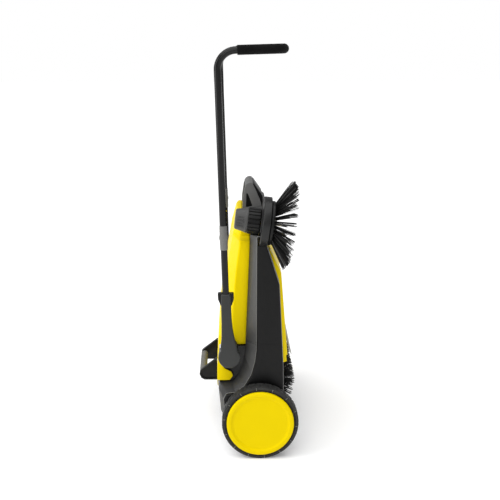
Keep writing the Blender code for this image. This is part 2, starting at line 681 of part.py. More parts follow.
def push_handle_side(side_name):
    side = SIDES[side_name]
    tube_axis = Vector((-HANDLE_LEAN, 0.0, 1.0)).normalized()
    outline = arc((PIVOT_X, PIVOT_Z), 0.035, 150, 390, 16)
    half_widths = ((0.405, 0.0225), (0.440, 0.0170), (ARM_TOP_Z + 0.040, 0.0155))
    outline += [(handle_x(z) + half, z) for z, half in half_widths]
    outline += [(handle_x(z) - half, z) for z, half in reversed(half_widths)]
    arm_y = mirrored(side, ARM_INNER_Y, ARM_OUTER_Y)
    arm = flat(f"handle_arm_{side_name}", outline, *arm_y, bevel=0.003)
    notch_y = mirrored(side, 0.320, 0.354)
    low, high = (-0.140, notch_y[0], ARM_TOP_Z - GAP), (-0.080, notch_y[1], 0.600)
    cut(arm, box(f"room_for_collar_{side_name}", low, high))
    bore = [handle_point(side, 0.450), handle_point(side, 0.600)]
    cut(arm, rod(f"arm_socket_{side_name}", bore, 0.0109))
    hole_y = mirrored(side, 0.320, 0.358)
    cut(arm, ring(f"arm_pin_hole_{side_name}", 0, 0.0084, *hole_y, PIVOT))
    wings = [(handle_x(z) + half, z) for z, half in ((0.522, 0.018), (0.546, 0.025), (0.563, 0.025))]
    wings += [(handle_x(z) - half, z) for z, half in ((0.563, 0.025), (0.546, 0.025), (0.522, 0.018))]
    collar = flat(f"handle_collar_{side_name}", wings, *mirrored(side, 0.333, 0.3535), bevel=0.002)
    cut(collar, rod(f"collar_bore_{side_name}", bore, 0.0109))
    ends = [handle_point(side, 0.452), handle_point(side, JOINT_Z - GAP)]
    lower = rod(f"handle_lower_tube_{side_name}", ends, 0.0105, "tube_black")
    beyond = [handle_point(side, 0.440), handle_point(side, 0.760)]
    cut(lower, rod(f"lower_tube_bore_{side_name}", beyond, 0.009))
    button = handle_point(side, 0.690)
    button.y = 0.0
    cut(lower, ring(f"button_hole_{side_name}", 0, 0.0056, *mirrored(side, 0.330, 0.347), button, steps=12))
    name = f"snap_button_{side_name}"
    snap = ring(name, 0, 0.0048, *mirrored(side, 0.3335, 0.345), button, colour="yellow", steps=12)
    joint = handle_point(side, JOINT_Z)
    sleeve = ring(f"handle_sleeve_{side_name}", 0.0113, 0.0138, -0.038, 0.038, joint, tube_axis, "grey", 24)
    return [arm, collar, lower, sleeve], snap


def handle_path(low_z):
    """The middle of the upper tube, from a height on the right side round to the left side."""
    corners = [handle_point(-1, low_z), (GRIP_BACK_X, -HANDLE_Y, GRIP_BACK_Z)]
    corners += [(GRIP_FRONT_X, -HANDLE_Y, GRIP_FRONT_Z), (GRIP_FRONT_X, HANDLE_Y, GRIP_FRONT_Z)]
    corners += [(GRIP_BACK_X, HANDLE_Y, GRIP_BACK_Z), handle_point(1, low_z)]
    return rounded_path(corners, (0.056, 0.040, 0.040, 0.056))


def grip_path(start_x):
    """The part of the handle path from a place past its back bend on the right to the same on the left."""
    share = (start_x - GRIP_BACK_X) / (GRIP_FRONT_X - GRIP_BACK_X)
    start_z = GRIP_BACK_Z + share * (GRIP_FRONT_Z - GRIP_BACK_Z)
    corners = [(start_x, -HANDLE_Y, start_z), (GRIP_FRONT_X, -HANDLE_Y, GRIP_FRONT_Z)]
    corners += [(GRIP_FRONT_X, HANDLE_Y, GRIP_FRONT_Z), (start_x, HANDLE_Y, start_z)]
    return rounded_path(corners, (0.040, 0.040))


def make_push_handle():
    upper = rod("handle_upper_tube", handle_path(JOINT_Z + GAP), TUBE_RADIUS, "tube_black")
    cut(upper, rod("upper_tube_bore", handle_path(JOINT_Z - 0.010), TUBE_BORE))
    grip = rod("handle_grip", grip_path(GRIP_START_X), GRIP_RADIUS, "foam")
    cut(grip, rod("grip_bore", grip_path(GRIP_START_X - 0.004), TUBE_RADIUS + 2 * GAP))
    pieces = [upper, grip]
    buttons = {}
    for side_name in SIDES:
        more, buttons[side_name] = push_handle_side(side_name)
        pieces += more
    return pieces, buttons


def hang(pieces, name, place, parent=None):
    """Parents the pieces to an empty on their joint's axis."""
    pivot = bpy.data.objects.new(name, None)
    PARTS.objects.link(pivot)
    pivot.location = place
    if parent:
        pivot.parent = parent
        pivot.location = place - parent.location
    for piece in pieces:
        piece.parent = pivot
        piece.matrix_parent_inverse = Matrix.Translation(place).inverted()
    return pivot


make_chassis()
right_wheel, left_wheel, roller = make_wheels_and_roller()
hang(right_wheel, "wheel_axis_right", AXLE)
hang(left_wheel, "wheel_axis_left", AXLE)
hang(roller, "roller_axis", ROLLER)
carrier = hang(make_brush_carrier(), "carrier_axis", BRUSH)
hang(make_side_brush(), "brush_axis", BRUSH, carrier)
hang(make_adjuster(), "adjuster_axis", BRUSH)
hang(make_container(), "container_slide", Vector((0.0, 0.0, DEEP_HOOD[0][0])))
handle_pieces, snap_buttons = make_push_handle()
handle = hang(handle_pieces, "handle_axis", PIVOT)
for side_name, button in snap_buttons.items():
    hang([button], f"button_axis_{side_name}", handle_point(SIDES[side_name], 0.690), handle)
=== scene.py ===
"""The looks of a walk behind sweeper, parked upright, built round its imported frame."""

import json
from math import ceil, copysign, cos, radians, sin, sqrt, tan, tau

import bmesh
import bpy
import numpy as np
from mathutils import Matrix, Vector

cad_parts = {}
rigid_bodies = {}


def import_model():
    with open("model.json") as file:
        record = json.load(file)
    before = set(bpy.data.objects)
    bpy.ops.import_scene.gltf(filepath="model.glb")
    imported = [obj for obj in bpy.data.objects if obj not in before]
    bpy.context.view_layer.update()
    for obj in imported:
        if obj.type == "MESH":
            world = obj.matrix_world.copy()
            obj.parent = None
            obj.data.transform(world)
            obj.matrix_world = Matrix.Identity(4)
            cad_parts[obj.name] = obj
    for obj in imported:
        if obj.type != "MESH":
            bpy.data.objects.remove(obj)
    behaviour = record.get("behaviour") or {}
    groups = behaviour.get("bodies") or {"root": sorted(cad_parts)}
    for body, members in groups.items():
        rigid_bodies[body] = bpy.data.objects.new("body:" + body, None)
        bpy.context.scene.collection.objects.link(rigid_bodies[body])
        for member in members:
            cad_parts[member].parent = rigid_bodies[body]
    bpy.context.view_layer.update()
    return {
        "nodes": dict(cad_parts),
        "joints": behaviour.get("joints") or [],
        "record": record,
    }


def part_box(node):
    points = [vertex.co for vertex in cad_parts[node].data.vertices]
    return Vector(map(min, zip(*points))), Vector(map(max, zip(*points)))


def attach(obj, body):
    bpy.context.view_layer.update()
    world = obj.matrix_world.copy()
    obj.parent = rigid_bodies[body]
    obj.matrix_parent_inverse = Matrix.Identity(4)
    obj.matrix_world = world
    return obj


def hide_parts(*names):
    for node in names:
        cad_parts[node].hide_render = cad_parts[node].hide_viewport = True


for old in list(bpy.data.objects):
    bpy.data.objects.remove(old, do_unlink=True)
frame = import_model()

RIGHT, LEFT = -1, 1
SIDES = {"right": RIGHT, "left": LEFT}
Y_AXIS = Vector((0.0, 1.0, 0.0))
UP = Vector((0.0, 0.0, 1.0))


# Places taken from the frame


def joint(name):
    return next(j for j in frame["joints"] if j["name"] == name)


AXLE = Vector(joint("wheel_right_spin")["pos_m"])
ROLLER = Vector(joint("roller_spin")["pos_m"])
PIVOT = Vector(joint("handle_fold")["pos_m"])
BRUSH = Vector(joint("side_brush_spin")["pos_m"])
BRUSH_AXIS = Vector(joint("side_brush_spin")["axis"]).normalized()
BRUSH_UP = BRUSH_AXIS.cross(Y_AXIS).normalized() * -1
if BRUSH_UP.z < 0:
    BRUSH_UP = -BRUSH_UP
LOWER_TUBE_RADIUS, UPPER_TUBE_RADIUS, FOAM_RADIUS = 0.0105, 0.011, 0.0145
PIVOT_HOLE_RADIUS = 0.0084
HANDLE_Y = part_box("handle_lower_tube_left")[1].y - LOWER_TUBE_RADIUS
HANDLE_LEAN = 0.0285


def handle_x(z):
    """The x of the push handle's tubes at a height."""
    return -0.1085 - HANDLE_LEAN * (z - 0.52)


def handle_point(side, z):
    return Vector((handle_x(z), side * HANDLE_Y, z))


# Materials


class Finish:
    """A procedural material: a shader with its colour, roughness and relief from noise."""

    def __init__(self, name, colour, roughness, metallic=0.0, coat=0.0, sheen=0.0, gloss=0.5):
        self.material = bpy.data.materials.new(name)
        self.material.use_nodes = True
        self.tree = self.material.node_tree
        self.shader = self.tree.nodes["Principled BSDF"]
        self.shader.inputs["Metallic"].default_value = metallic
        self.shader.inputs["Coat Weight"].default_value = coat
        self.shader.inputs["Coat Roughness"].default_value = 0.15
        self.shader.inputs["Sheen Weight"].default_value = sheen
        self.shader.inputs["Specular IOR Level"].default_value = gloss
        self.colour, self.roughness = colour, roughness
        self.place = self.add("ShaderNodeTexCoord").outputs["Object"]
        self.height = None

    def add(self, kind, **values):
        node = self.tree.nodes.new(kind)
        for name, value in values.items():
            if name in node.inputs:
                node.inputs[name].default_value = value
            else:
                setattr(node, name, value)
        return node

    def link(self, output, target):
        self.tree.links.new(output, target)

    def noise(self, scale, detail=3.0, stretch=None, roughness=0.55):
        """Noise about 1/scale metres wide, 0 to 1; stretch scales its axes first."""
        place = self.place
        if stretch:
            mapping = self.add("ShaderNodeMapping")
            mapping.inputs["Scale"].default_value = stretch
            self.link(place, mapping.inputs["Vector"])
            place = mapping.outputs["Vector"]
        node = self.add("ShaderNodeTexNoise", Scale=scale, Detail=detail, Roughness=roughness)
        self.link(place, node.inputs["Vector"])
        return node.outputs["Fac"]

    def cells(self, scale, feature="F1"):
        node = self.add("ShaderNodeTexVoronoi", feature=feature, Scale=scale)
        self.link(self.place, node.inputs["Vector"])
        return node.outputs["Distance"]

    def between(self, value, low, high, out_low, out_high):
        span = {"From Min": low, "From Max": high, "To Min": out_low, "To Max": out_high}
        node = self.add("ShaderNodeMapRange", **span)
        self.link(value, node.inputs["Value"])
        return node.outputs["Result"]

    def tint(self, value, share):
        """Colour from darker to lighter than the base by share, as value goes from 0.3 to 0.7."""
        ramp = self.add("ShaderNodeValToRGB")
        ramp.color_ramp.elements[0].position = 0.3
        ramp.color_ramp.elements[1].position = 0.7
        for element, factor in zip(ramp.color_ramp.elements, (1 - share, 1 + share)):
            element.color = (*[min(1.0, channel * factor) for channel in self.colour], 1.0)
        self.link(value, ramp.inputs["Fac"])
        self.link(ramp.outputs["Color"], self.shader.inputs["Base Color"])

    def rough(self, value, share):
        low, high = max(0.02, self.roughness - share), min(1.0, self.roughness + share)
        self.link(self.between(value, 0.3, 0.7, low, high), self.shader.inputs["Roughness"])

    def relief(self, value, depth, strength=1.0):
        """Bump of that depth in metres, on top of the bumps before it."""
        bump = self.add("ShaderNodeBump", Strength=strength, Distance=depth)
        self.link(value, bump.inputs["Height"])
        if self.height:
            self.link(self.height, bump.inputs["Normal"])
        self.height = bump.outputs["Normal"]
        self.link(self.height, self.shader.inputs["Normal"])

    def moulded(self, grain, depth):
        """Light scuffs, shallow waves and a fine grain; the finished material."""
        self.rough(self.noise(60.0, 5.0), 0.07)
        self.relief(self.noise(25.0, 2.0), 0.0004, 0.25)
        self.relief(self.noise(grain, 2.0), depth, 0.5)
        return self.material


def plastic(name, colour, roughness, grain, grain_depth, uneven, gloss):
    """Moulded plastic with slow unevenness of its colour."""
    made = Finish(name, colour, roughness, gloss=gloss)
    made.tint(made.noise(9.0, 4.0), uneven)
    return made.moulded(grain, grain_depth)


def strip_with_painted_shade():
    """The sloping strip of the side, dark grey plastic with painted light and shade: painted lighter
    towards its outer edge and higher up, painted shade low down in the recess.
    """
    made = Finish("grey_side_strip_painted_shade", (0.06, 0.06, 0.059), 0.46, gloss=0.3)
    axes = made.add("ShaderNodeSeparateXYZ")
    made.link(made.place, axes.inputs["Vector"])
    outwards = made.add("ShaderNodeMath", operation="ABSOLUTE")
    made.link(axes.outputs["Y"], outwards.inputs[0])
    # Painted light and shade: lighter towards the outer edge and higher up, painted shade low down in the
    # recess.
    painted_light_and_shade = made.add("ShaderNodeMath", operation="MULTIPLY")
    made.link(made.between(outwards.outputs["Value"], 0.258, 0.303, 0.05, 1.0), painted_light_and_shade.inputs[0])
    made.link(made.between(axes.outputs["Z"], 0.2, 0.38, 0.3, 1.0), painted_light_and_shade.inputs[1])
    uneven = made.add("ShaderNodeMath", operation="MULTIPLY_ADD")
    made.link(made.noise(9.0, 4.0), uneven.inputs[0])
    uneven.inputs[1].default_value = 0.08
    made.link(painted_light_and_shade.outputs["Value"], uneven.inputs[2])
    # The ramp runs from painted shade (near black) to painted light (grey), with a little uneven tone from
    # the noise.
    ramp = made.add("ShaderNodeValToRGB")
    ramp.color_ramp.elements[0].color = (0.004, 0.004, 0.004, 1.0)
    ramp.color_ramp.elements[1].color = (0.085, 0.085, 0.083, 1.0)
    made.link(uneven.outputs["Value"], ramp.inputs["Fac"])
    made.link(ramp.outputs["Color"], made.shader.inputs["Base Color"])
    return made.moulded(800.0, 0.0002)


def painted(name, colour, roughness):
    """Powder coat on a steel tube: a faint orange peel and fine lengthwise marks."""
    made = Finish(name, colour, roughness, coat=0.05, gloss=0.25)
    made.tint(made.noise(14.0, 3.0), 0.12)
    made.rough(made.noise(240.0, 4.0, (1.0, 1.0, 0.06)), 0.06)
    made.relief(made.noise(700.0, 1.0), 0.00008, 0.5)
    return made.material


def rubbery(name, colour, roughness, scale=700.0):
    made = Finish(name, colour, roughness, gloss=0.3)
    made.tint(made.noise(30.0, 5.0), 0.25)
    made.rough(made.noise(110.0, 4.0), 0.08)
    made.relief(made.noise(scale, 4.0), 0.00015, 0.6)
    return made.material


def foam(name, colour):
    made = Finish(name, colour, 0.85, sheen=0.02, gloss=0.1)
    made.tint(made.noise(60.0, 4.0), 0.35)
    made.rough(made.noise(90.0, 3.0), 0.06)
    made.relief(made.cells(650.0), 0.0006, 0.7)
    return made.material


def strands(name, colour, roughness):
    """Synthetic bristle: each strand is a little lighter or darker than the next."""
    made = Finish(name, colour, roughness, gloss=0.2)
    made.tint(made.noise(420.0, 3.0), 0.6)
    made.rough(made.noise(300.0, 3.0), 0.1)
    made.relief(made.noise(1500.0, 2.0), 0.0001, 0.4)
    return made.material


def steel(name):
    made = Finish(name, (0.55, 0.55, 0.56), 0.28, metallic=1.0)
    made.tint(made.noise(60.0, 4.0), 0.1)
    made.rough(made.noise(500.0, 4.0, (1.0, 0.05, 1.0)), 0.08)
    made.relief(made.noise(900.0, 3.0, (1.0, 0.05, 1.0)), 0.00005, 0.5)
    return made.material


# Moulded plastics: name, colour, roughness, scale of the grain, its depth, unevenness of colour, gloss.
PLASTICS = {
    "yellow_plastic": ("yellow_moulding", (0.8, 0.605, 0.0), 0.42, 1300.0, 0.00006, 0.03, 0.05),
    "black_plastic": ("black_moulding", (0.0045, 0.0045, 0.0045), 0.38, 900.0, 0.00016, 0.12, 0.22),
    "frame_plastic": ("dark_grey_moulding", (0.045, 0.045, 0.044), 0.48, 800.0, 0.0002, 0.1, 0.3),
    "grey_plastic": ("grey_moulding", (0.13, 0.13, 0.125), 0.45, 800.0, 0.0002, 0.08, 0.35),
    "hub_cap": ("yellow_cap", (0.73, 0.555, 0.0), 0.42, 1500.0, 0.00005, 0.02, 0.04),
    "side_panel": ("black_side_panel", (0.003, 0.003, 0.003), 0.42, 700.0, 0.00015, 0.15, 0.2),
    "bracket": ("grey_handle_bracket", (0.12, 0.12, 0.118), 0.42, 800.0, 0.0002, 0.08, 0.3),
    "drum": ("drum_moulding", (0.01, 0.01, 0.01), 0.33, 800.0, 0.0002, 0.08, 0.3),
    "knob": ("grey_knob", (0.055, 0.055, 0.054), 0.44, 800.0, 0.0002, 0.08, 0.3),
    # The light grey of the edge rim and of the tyre's side ticks is a painted highlight.
    "painted_highlight": ("light_grey_painted_highlight", (0.2, 0.2, 0.19), 0.4, 800.0, 0.0001, 0.06, 0.4),
    "arm_plastic": ("arm_moulding", (0.024, 0.025, 0.024), 0.4, 800.0, 0.00018, 0.1, 0.3),
}
LOOKS = {key: plastic(*row) for key, row in PLASTICS.items()}
LOOKS |= {
    "strip": strip_with_painted_shade(),
    "tube_paint": painted("black_tube_coat", (0.003, 0.003, 0.003), 0.24),
    "steel": steel("turned_steel"),
    "tyre": rubbery("tyre_rubber", (0.022, 0.022, 0.021), 0.6),
    "rubber": rubbery("seal_rubber", (0.015, 0.015, 0.015), 0.7),
    "lip": rubbery("container_lip_rubber", (0.33, 0.33, 0.32), 0.5, 400.0),
    "bristles": strands("brush_bristle", (0.004, 0.004, 0.004), 0.4),
    "light_bristles": strands("light_bristle", (0.1, 0.1, 0.1), 0.4),
    "foam": foam("foam_rubber", (0.003, 0.003, 0.003)),
}


# Building blocks


def add_object(name, data):
    made = bpy.data.objects.new(name, data)
    bpy.context.scene.collection.objects.link(made)
    return made


def place_piece(name, mesh, look, body, node=None, angle=35):
    """A finished mesh in the row frame, riding on its body, standing for the node it replaces."""
    mesh.materials.clear()
    mesh.materials.append(LOOKS[look])
    mesh.shade_smooth()
    mesh.set_sharp_from_angle(angle=radians(angle))
    piece = add_object(name, mesh)
    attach(piece, body)
    if node:
        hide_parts(node)


def place_on_side(side_name, name, mesh, look, body, node=None, angle=35):
    """A piece of one side: its name and its node's end in the side's name."""
    place_piece(f"{name}_{side_name}", mesh, look, body, node and f"{node}_{side_name}", angle)


def to_mesh(shape):
    mesh = bpy.data.meshes.new("draft")
    shape.to_mesh(mesh)
    shape.free()
    return mesh


def to_solid(shape):
    bmesh.ops.recalc_face_normals(shape, faces=shape.faces)
    return to_mesh(shape)


def bridge(shape, rows):
    """Faces between each ring of vertices and the next."""
    for lower, upper in zip(rows, rows[1:]):
        for k in range(len(lower)):
            j = (k + 1) % len(lower)
            corners = list(dict.fromkeys((lower[k], lower[j], upper[j], upper[k])))
            if len(corners) > 2:
                shape.faces.new(corners)


def evaluated(mesh, *changes):
    """The mesh after modifiers, each as (type, {setting: value})."""
    obj = add_object("draft", mesh)
    for kind, settings in changes:
        modifier = obj.modifiers.new(kind.lower(), kind)
        for name, value in settings.items():
            setattr(modifier, name, value)
    bpy.context.view_layer.update()
    made = bpy.data.meshes.new_from_object(obj.evaluated_get(bpy.context.evaluated_depsgraph_get()))
    bpy.data.objects.remove(obj, do_unlink=True)
    return made


def rounded(mesh, width, segments=3, angle=30):
    """The mesh with its sharp edges rounded."""
    shape = bmesh.new()
    shape.from_mesh(mesh)
    bmesh.ops.remove_doubles(shape, verts=shape.verts, dist=1e-6)
    bmesh.ops.dissolve_limit(shape, angle_limit=radians(0.8), verts=shape.verts, edges=shape.edges)
    settings = {"width": width, "segments": segments, "limit_method": "ANGLE"}
    settings.update(angle_limit=radians(angle), use_clamp_overlap=True, miter_outer="MITER_ARC")
    return evaluated(to_solid(shape), ("BEVEL", settings))


def combined(mesh, others, operation="DIFFERENCE"):
    """The mesh with others cut away, or joined on."""
    cutters = [add_object("cutter", other) for other in others]
    changes = [("BOOLEAN", {"operation": operation, "object": cutter}) for cutter in cutters]
    made = evaluated(mesh, *changes)
    for cutter in cutters:
        bpy.data.objects.remove(cutter, do_unlink=True)
    return made


def merged(meshes):
    """Separate shells in one mesh."""
    shape = bmesh.new()
    for mesh in meshes:
        shape.from_mesh(mesh)
    return to_mesh(shape)


def fillet(points, radius, steps=5, closed=True):
    """The (x, z) points with their corners rounded; radius is one number or one for each point."""
    count = len(points)
    radii = [radius] * count if isinstance(radius, (int, float)) else radius
    made = []
    for i, (point, size) in enumerate(zip(points, radii)):
        here = Vector(point)
        if not size or (not closed and i in (0, count - 1)):
            made.append(here)
            continue
        before, after = Vector(points[i - 1]), Vector(points[(i + 1) % count])
        into, out = (before - here), (after - here)
        half = into.angle(out) / 2
        if half > radians(88.5):
            ends = (here + into.normalized() * 5e-4, here + out.normalized() * 5e-4)
            made += [ends[0].lerp(ends[1], k / steps) for k in range(steps + 1)]
            continue
        reach = min(size / tan(half), into.length * 0.48, out.length * 0.48)
        size = reach * tan(half)
        middle = here + (into.normalized() + out.normalized()).normalized() * size / sin(half)
        start = (here + into.normalized() * reach - middle).normalized()
        end = (here + out.normalized() * reach - middle).normalized()
        turn = start.angle_signed(end)
        for k in range(steps + 1):
            made.append(middle + Matrix.Rotation(-turn * k / steps, 2) @ start * size)
    return made


def slab(outline, y_from, y_to):
    """A flat solid: an outline of (x, z) points between two y, given in any order."""
    y_from, y_to = sorted((y_from, y_to))
    shape = bmesh.new()
    low = [shape.verts.new((x, y_from, z)) for x, z in outline]
    high = [shape.verts.new((x, y_to, z)) for x, z in outline]
    shape.faces.new(low)
    shape.faces.new(high)
    bridge(shape, [low, high])
    return to_solid(shape)


def block(low, high):
    (x, y, z), (far_x, far_y, far_z) = low, high
    return slab([(x, z), (far_x, z), (far_x, far_z), (x, far_z)], y, far_y)


def basis(axis):
    """Two directions square to the axis, the first as near to up as it can be."""
    axis = axis.normalized()
    first = UP - axis * UP.dot(axis)
    if first.length < 0.1:
        first = Vector((1.0, 0.0, 0.0)) - axis * axis.x
    first.normalize()
    return first, axis.cross(first)


def turned(profile, centre, axis=Y_AXIS, steps=96, ripple=None):
    """A (radius, height) profile turned about the axis. It closes on the axis, or on itself round a bore.

    ripple(angle, index) gives a share to scale the radius by.
    """
    first, second = basis(axis)
    axis = axis.normalized()
    shape = bmesh.new()
    rows = []
    for index, (radius, height) in enumerate(profile):
        if radius < 1e-6:
            rows.append([shape.verts.new(centre + axis * height)] * steps)
            continue
        row = []
        for k in range(steps):
            angle = tau * k / steps
            size = radius * (ripple(angle, index) if ripple else 1.0)
            out = first * cos(angle) + second * sin(angle)
            row.append(shape.verts.new(centre + axis * height + out * size))
        rows.append(row)
    if profile[0][0] > 1e-6 and profile[-1][0] > 1e-6:
        rows.append(rows[0])
    bridge(shape, rows)
    return to_solid(shape)


def lathe(profile, radius, centre, axis=Y_AXIS, steps=96, ripple=None, round_steps=4):
    """A turned shape whose profile corners are rounded."""
    closed = profile[0][0] > 1e-6 and profile[-1][0] > 1e-6
    return turned(
        [tuple(p) for p in fillet(profile, radius, round_steps, closed)], centre, axis, steps, ripple
    )


def sweep(path, radius, sides=24, closed=False, shape_of=None):
    """A tube along a path of points. shape_of(share, angle) gives a share to scale the radius by."""
    points = [Vector(p) for p in path]
    count = len(points)
    shape = bmesh.new()
    rows = []
    side = None
    for i, point in enumerate(points):
        before = points[i - 1] if closed or i else points[0]
        after = points[(i + 1) % count] if closed or i < count - 1 else points[-1]
        ahead = (after - before).normalized()
        if side is None:
            side = basis(ahead)[0]
        side = (side - ahead * side.dot(ahead)).normalized()
        other = ahead.cross(side)
        row = []
        for k in range(sides):
            angle = tau * k / sides
            size = radius * (shape_of(i / (count - 1), angle) if shape_of else 1.0)
            row.append(shape.verts.new(point + (side * cos(angle) + other * sin(angle)) * size))
        rows.append(row)
    bridge(shape, [*rows, rows[0]] if closed else rows)
    if not closed:
        shape.faces.new(rows[0])
        shape.faces.new(rows[-1])
    return to_solid(shape)


def rounded_path(corners, radii, steps=14):
    """The corner points with each inner corner replaced by an arc of its radius."""
    corners = [Vector(corner) for corner in corners]
    path = [corners[0]]
    for before, corner, after, radius in zip(corners, corners[1:], corners[2:], radii):
        into = (before - corner).normalized()
        out = (after - corner).normalized()
        half = into.angle(out) / 2
        reach = radius / tan(half)
        middle = corner + (into + out).normalized() * radius / sin(half)
        start = (corner + into * reach - middle).normalized()
        end = (corner + out * reach - middle).normalized()
        path += [middle + start.slerp(end, i / steps) * radius for i in range(steps + 1)]
    return [*path, corners[-1]]


def dense(path, step):
    """The path with points added so that none are further apart than step."""
    made = [Vector(path[0])]
    for a, b in zip(path, path[1:]):
        parts = max(1, ceil((Vector(b) - Vector(a)).length / step))
        made += [Vector(a).lerp(Vector(b), i / parts) for i in range(1, parts + 1)]
    return made


def loft(sections):
    shape = bmesh.new()
    loops = [[shape.verts.new(point) for point in section] for section in sections]
    bridge(shape, loops)
    shape.faces.new(loops[0])
    shape.faces.new(loops[-1])
    return to_solid(shape)


def pin(radius, near, far):
    """The profile of a plain round pin or hole, its ends given in any order."""
    near, far = sorted((near, far))
    return [(0, near), (radius, near), (radius, far), (0, far)]


def on_side(side, mesh):
    """A mesh made for the left side, mirrored if it is for the right one."""
    if side == RIGHT:
        mesh.transform(Matrix.Diagonal((1, -1, 1, 1)))
        mesh.flip_normals()
    return mesh


def inset(outline, distance):
    """The closed outline with each edge moved inwards by distance."""
    count = len(outline)
    area = sum(a[0] * b[1] - b[0] * a[1] for a, b in zip(outline, outline[1:] + outline[:1]))
    turn = copysign(1, area)
    moved = []
    for i in range(count):
        before, here, after = (Vector(outline[(i + k) % count]) for k in (-1, 0, 1))
        into = (here - before).normalized()
        out = (after - here).normalized()
        normals = [Vector((-turn * edge.y, turn * edge.x)) for edge in (into, out)]
        middle = (normals[0] + normals[1]).normalized()
        moved.append(tuple(here + middle * distance / max(0.3, middle.dot(normals[0]))))
    return moved


def arc(centre, radius, start, end, steps):
    """Points on a circle, its angles in degrees."""
    angles = [radians(start + (end - start) * i / steps) for i in range(steps + 1)]
    return [(centre[0] + radius * cos(a), centre[1] + radius * sin(a)) for a in angles]


def bristle_mesh(strand_list, sides=4):
    """Many tapered strands, each (root, tip, radius), in one mesh."""
    points, faces = [], []
    for root, tip, radius in strand_list:
        ahead = (tip - root).normalized()
        side = ahead.orthogonal().normalized()
        other = ahead.cross(side)
        rows = ((0.0, 1.0), (0.55, 0.95), (1.0, 0.75))
        start = len(points)
        for share, size in rows:
            middle = root.lerp(tip, share)
            for k in range(sides):
                angle = tau * k / sides
                points.append(middle + (side * cos(angle) + other * sin(angle)) * radius * size)
        for row in range(len(rows) - 1):
            for k in range(sides):
                j = (k + 1) % sides
                a, b = start + row * sides, start + (row + 1) * sides
                faces.append((a + k, a + j, b + j, b + k))
        faces.append(tuple(start + k for k in reversed(range(sides))))
        faces.append(tuple(start + (len(rows) - 1) * sides + k for k in range(sides)))
    mesh = bpy.data.meshes.new("strands")
    mesh.from_pydata(points, [], faces)
    return mesh


# Outlines of the chassis side, as (x, z) points: FOOTPRINT next to the container, FACE outside.

FOOTPRINT = [
    (-0.03, 0.735), (0.012, 0.735), (0.063, 0.578), (0.077, 0.306), (0.079, 0.218), (0.078, 0.12),
    (0.06, 0.066), (0.03, 0.046), (-0.06, 0.046), (-0.105, 0.075), (-0.1285, 0.123), (-0.136, 0.205),
    (-0.134, 0.231), (-0.09, 0.231), (-0.074, 0.25), (-0.056, 0.29), (-0.049, 0.325), (-0.046, 0.356),
]
FACE = [
    (-0.01, 0.7335), (0.011, 0.7335), (0.0622, 0.576), (0.0762, 0.306), (0.0782, 0.218), (0.0765, 0.122),
    (0.055, 0.07), (0.027, 0.052), (-0.058, 0.052), (-0.098, 0.08), (-0.115, 0.13), (-0.12, 0.185),
    (-0.11, 0.203), (-0.08, 0.207), (-0.052, 0.228), (-0.028, 0.27), (-0.016, 0.315), (-0.011, 0.356),
]
RECESS = [
    (-0.13, 0.222), (-0.132, 0.262), (-0.131, 0.345), (-0.115, 0.352), (-0.04, 0.352), (-0.03, 0.3),
    (-0.04, 0.222),
]
INNER_Y, CHAMFER_Y, COVER_Y, OUTER_Y = 0.252, 0.262, 0.303, 0.315
SOFT = [
    0.004, 0.01, 0.03, 0.04, 0.03, 0.02, 0.02, 0.015, 0.02, 0.03, 0.03, 0.008, 0.004, 0.01, 0.02, 0.04,
    0.04, 0.06,
]
SEAM_Z, SIDE_WALL, SHEET = 0.372, 0.004, 0.0035


def smooth_side(outline, inwards=0.0):
    """The outline moved inwards with its corners rounded, the same number of points for any like it."""
    return [tuple(p) for p in fillet(inset(outline, inwards) if inwards else outline, SOFT, 6)]


def side_frame(side_name):
    side = SIDES[side_name]
    foot, face = smooth_side(FOOTPRINT), smooth_side(FACE)
    if len(foot) != len(face):
        raise ValueError("the two outlines of the side differ in their number of points")
    rows = [(INNER_Y, foot), (CHAMFER_Y, foot), (COVER_Y - 0.0003, face)]
    body = loft([[(x, side * y, z) for x, z in line] for y, line in rows])
    hollow = [(0.2575, smooth_side(FOOTPRINT, SIDE_WALL)), (CHAMFER_Y, smooth_side(FOOTPRINT, SIDE_WALL))]
    hollow.append((COVER_Y + 0.001, smooth_side(FACE, SIDE_WALL)))
    body = combined(body, [loft([[(x, side * y, z) for x, z in line] for y, line in hollow])])
    plate = slab(fillet(RECESS, 0.008), side * (INNER_Y + 0.0008), side * 0.2568)
    boss = [(0, 0.2545), (0.03, 0.2545), (0.0262, 0.262), (0.0262, 0.3314), (0, 0.3314)]
    body = combined(body, [plate, on_side(side, lathe(boss, 0.0012, PIVOT))], "UNION")
    holes = [drum_room(64)]
    for place, radius, far in (
        (PIVOT, PIVOT_HOLE_RADIUS, 0.345), (ROLLER, 0.0203, 0.275), (AXLE, 0.0103, 0.275)
    ):
        holes.append(turned(pin(radius, side * 0.24, side * far), place, steps=40))
    holes.append(block((-0.06, side * 0.2585, SEAM_Z), (0.1, side * 0.33, SEAM_Z + 0.0012)))
    if side == RIGHT:
        holes.append(block((0.0, -0.2615, 0.48), (0.034, -0.245, 0.7)))
    body = rounded(combined(body, holes), 0.0007, 2, 40)
    # The strip look paints light on the frame's outer edge and shade low in its recess.
    place_on_side(
        side_name, "side_frame_moulding", body, "strip", "chassis", "side_frame", 40
    )


def drum_room(steps=96):
    """The space that the brush drum and its stem take up."""
    stem, rim, step = 0.0455, 0.0826, -0.0408
    profile = [(0, -0.15), (stem, -0.15), (stem, step), (rim, step), (rim, 0.06), (0, 0.06)]
    return turned(profile, BRUSH, BRUSH_AXIS, steps)


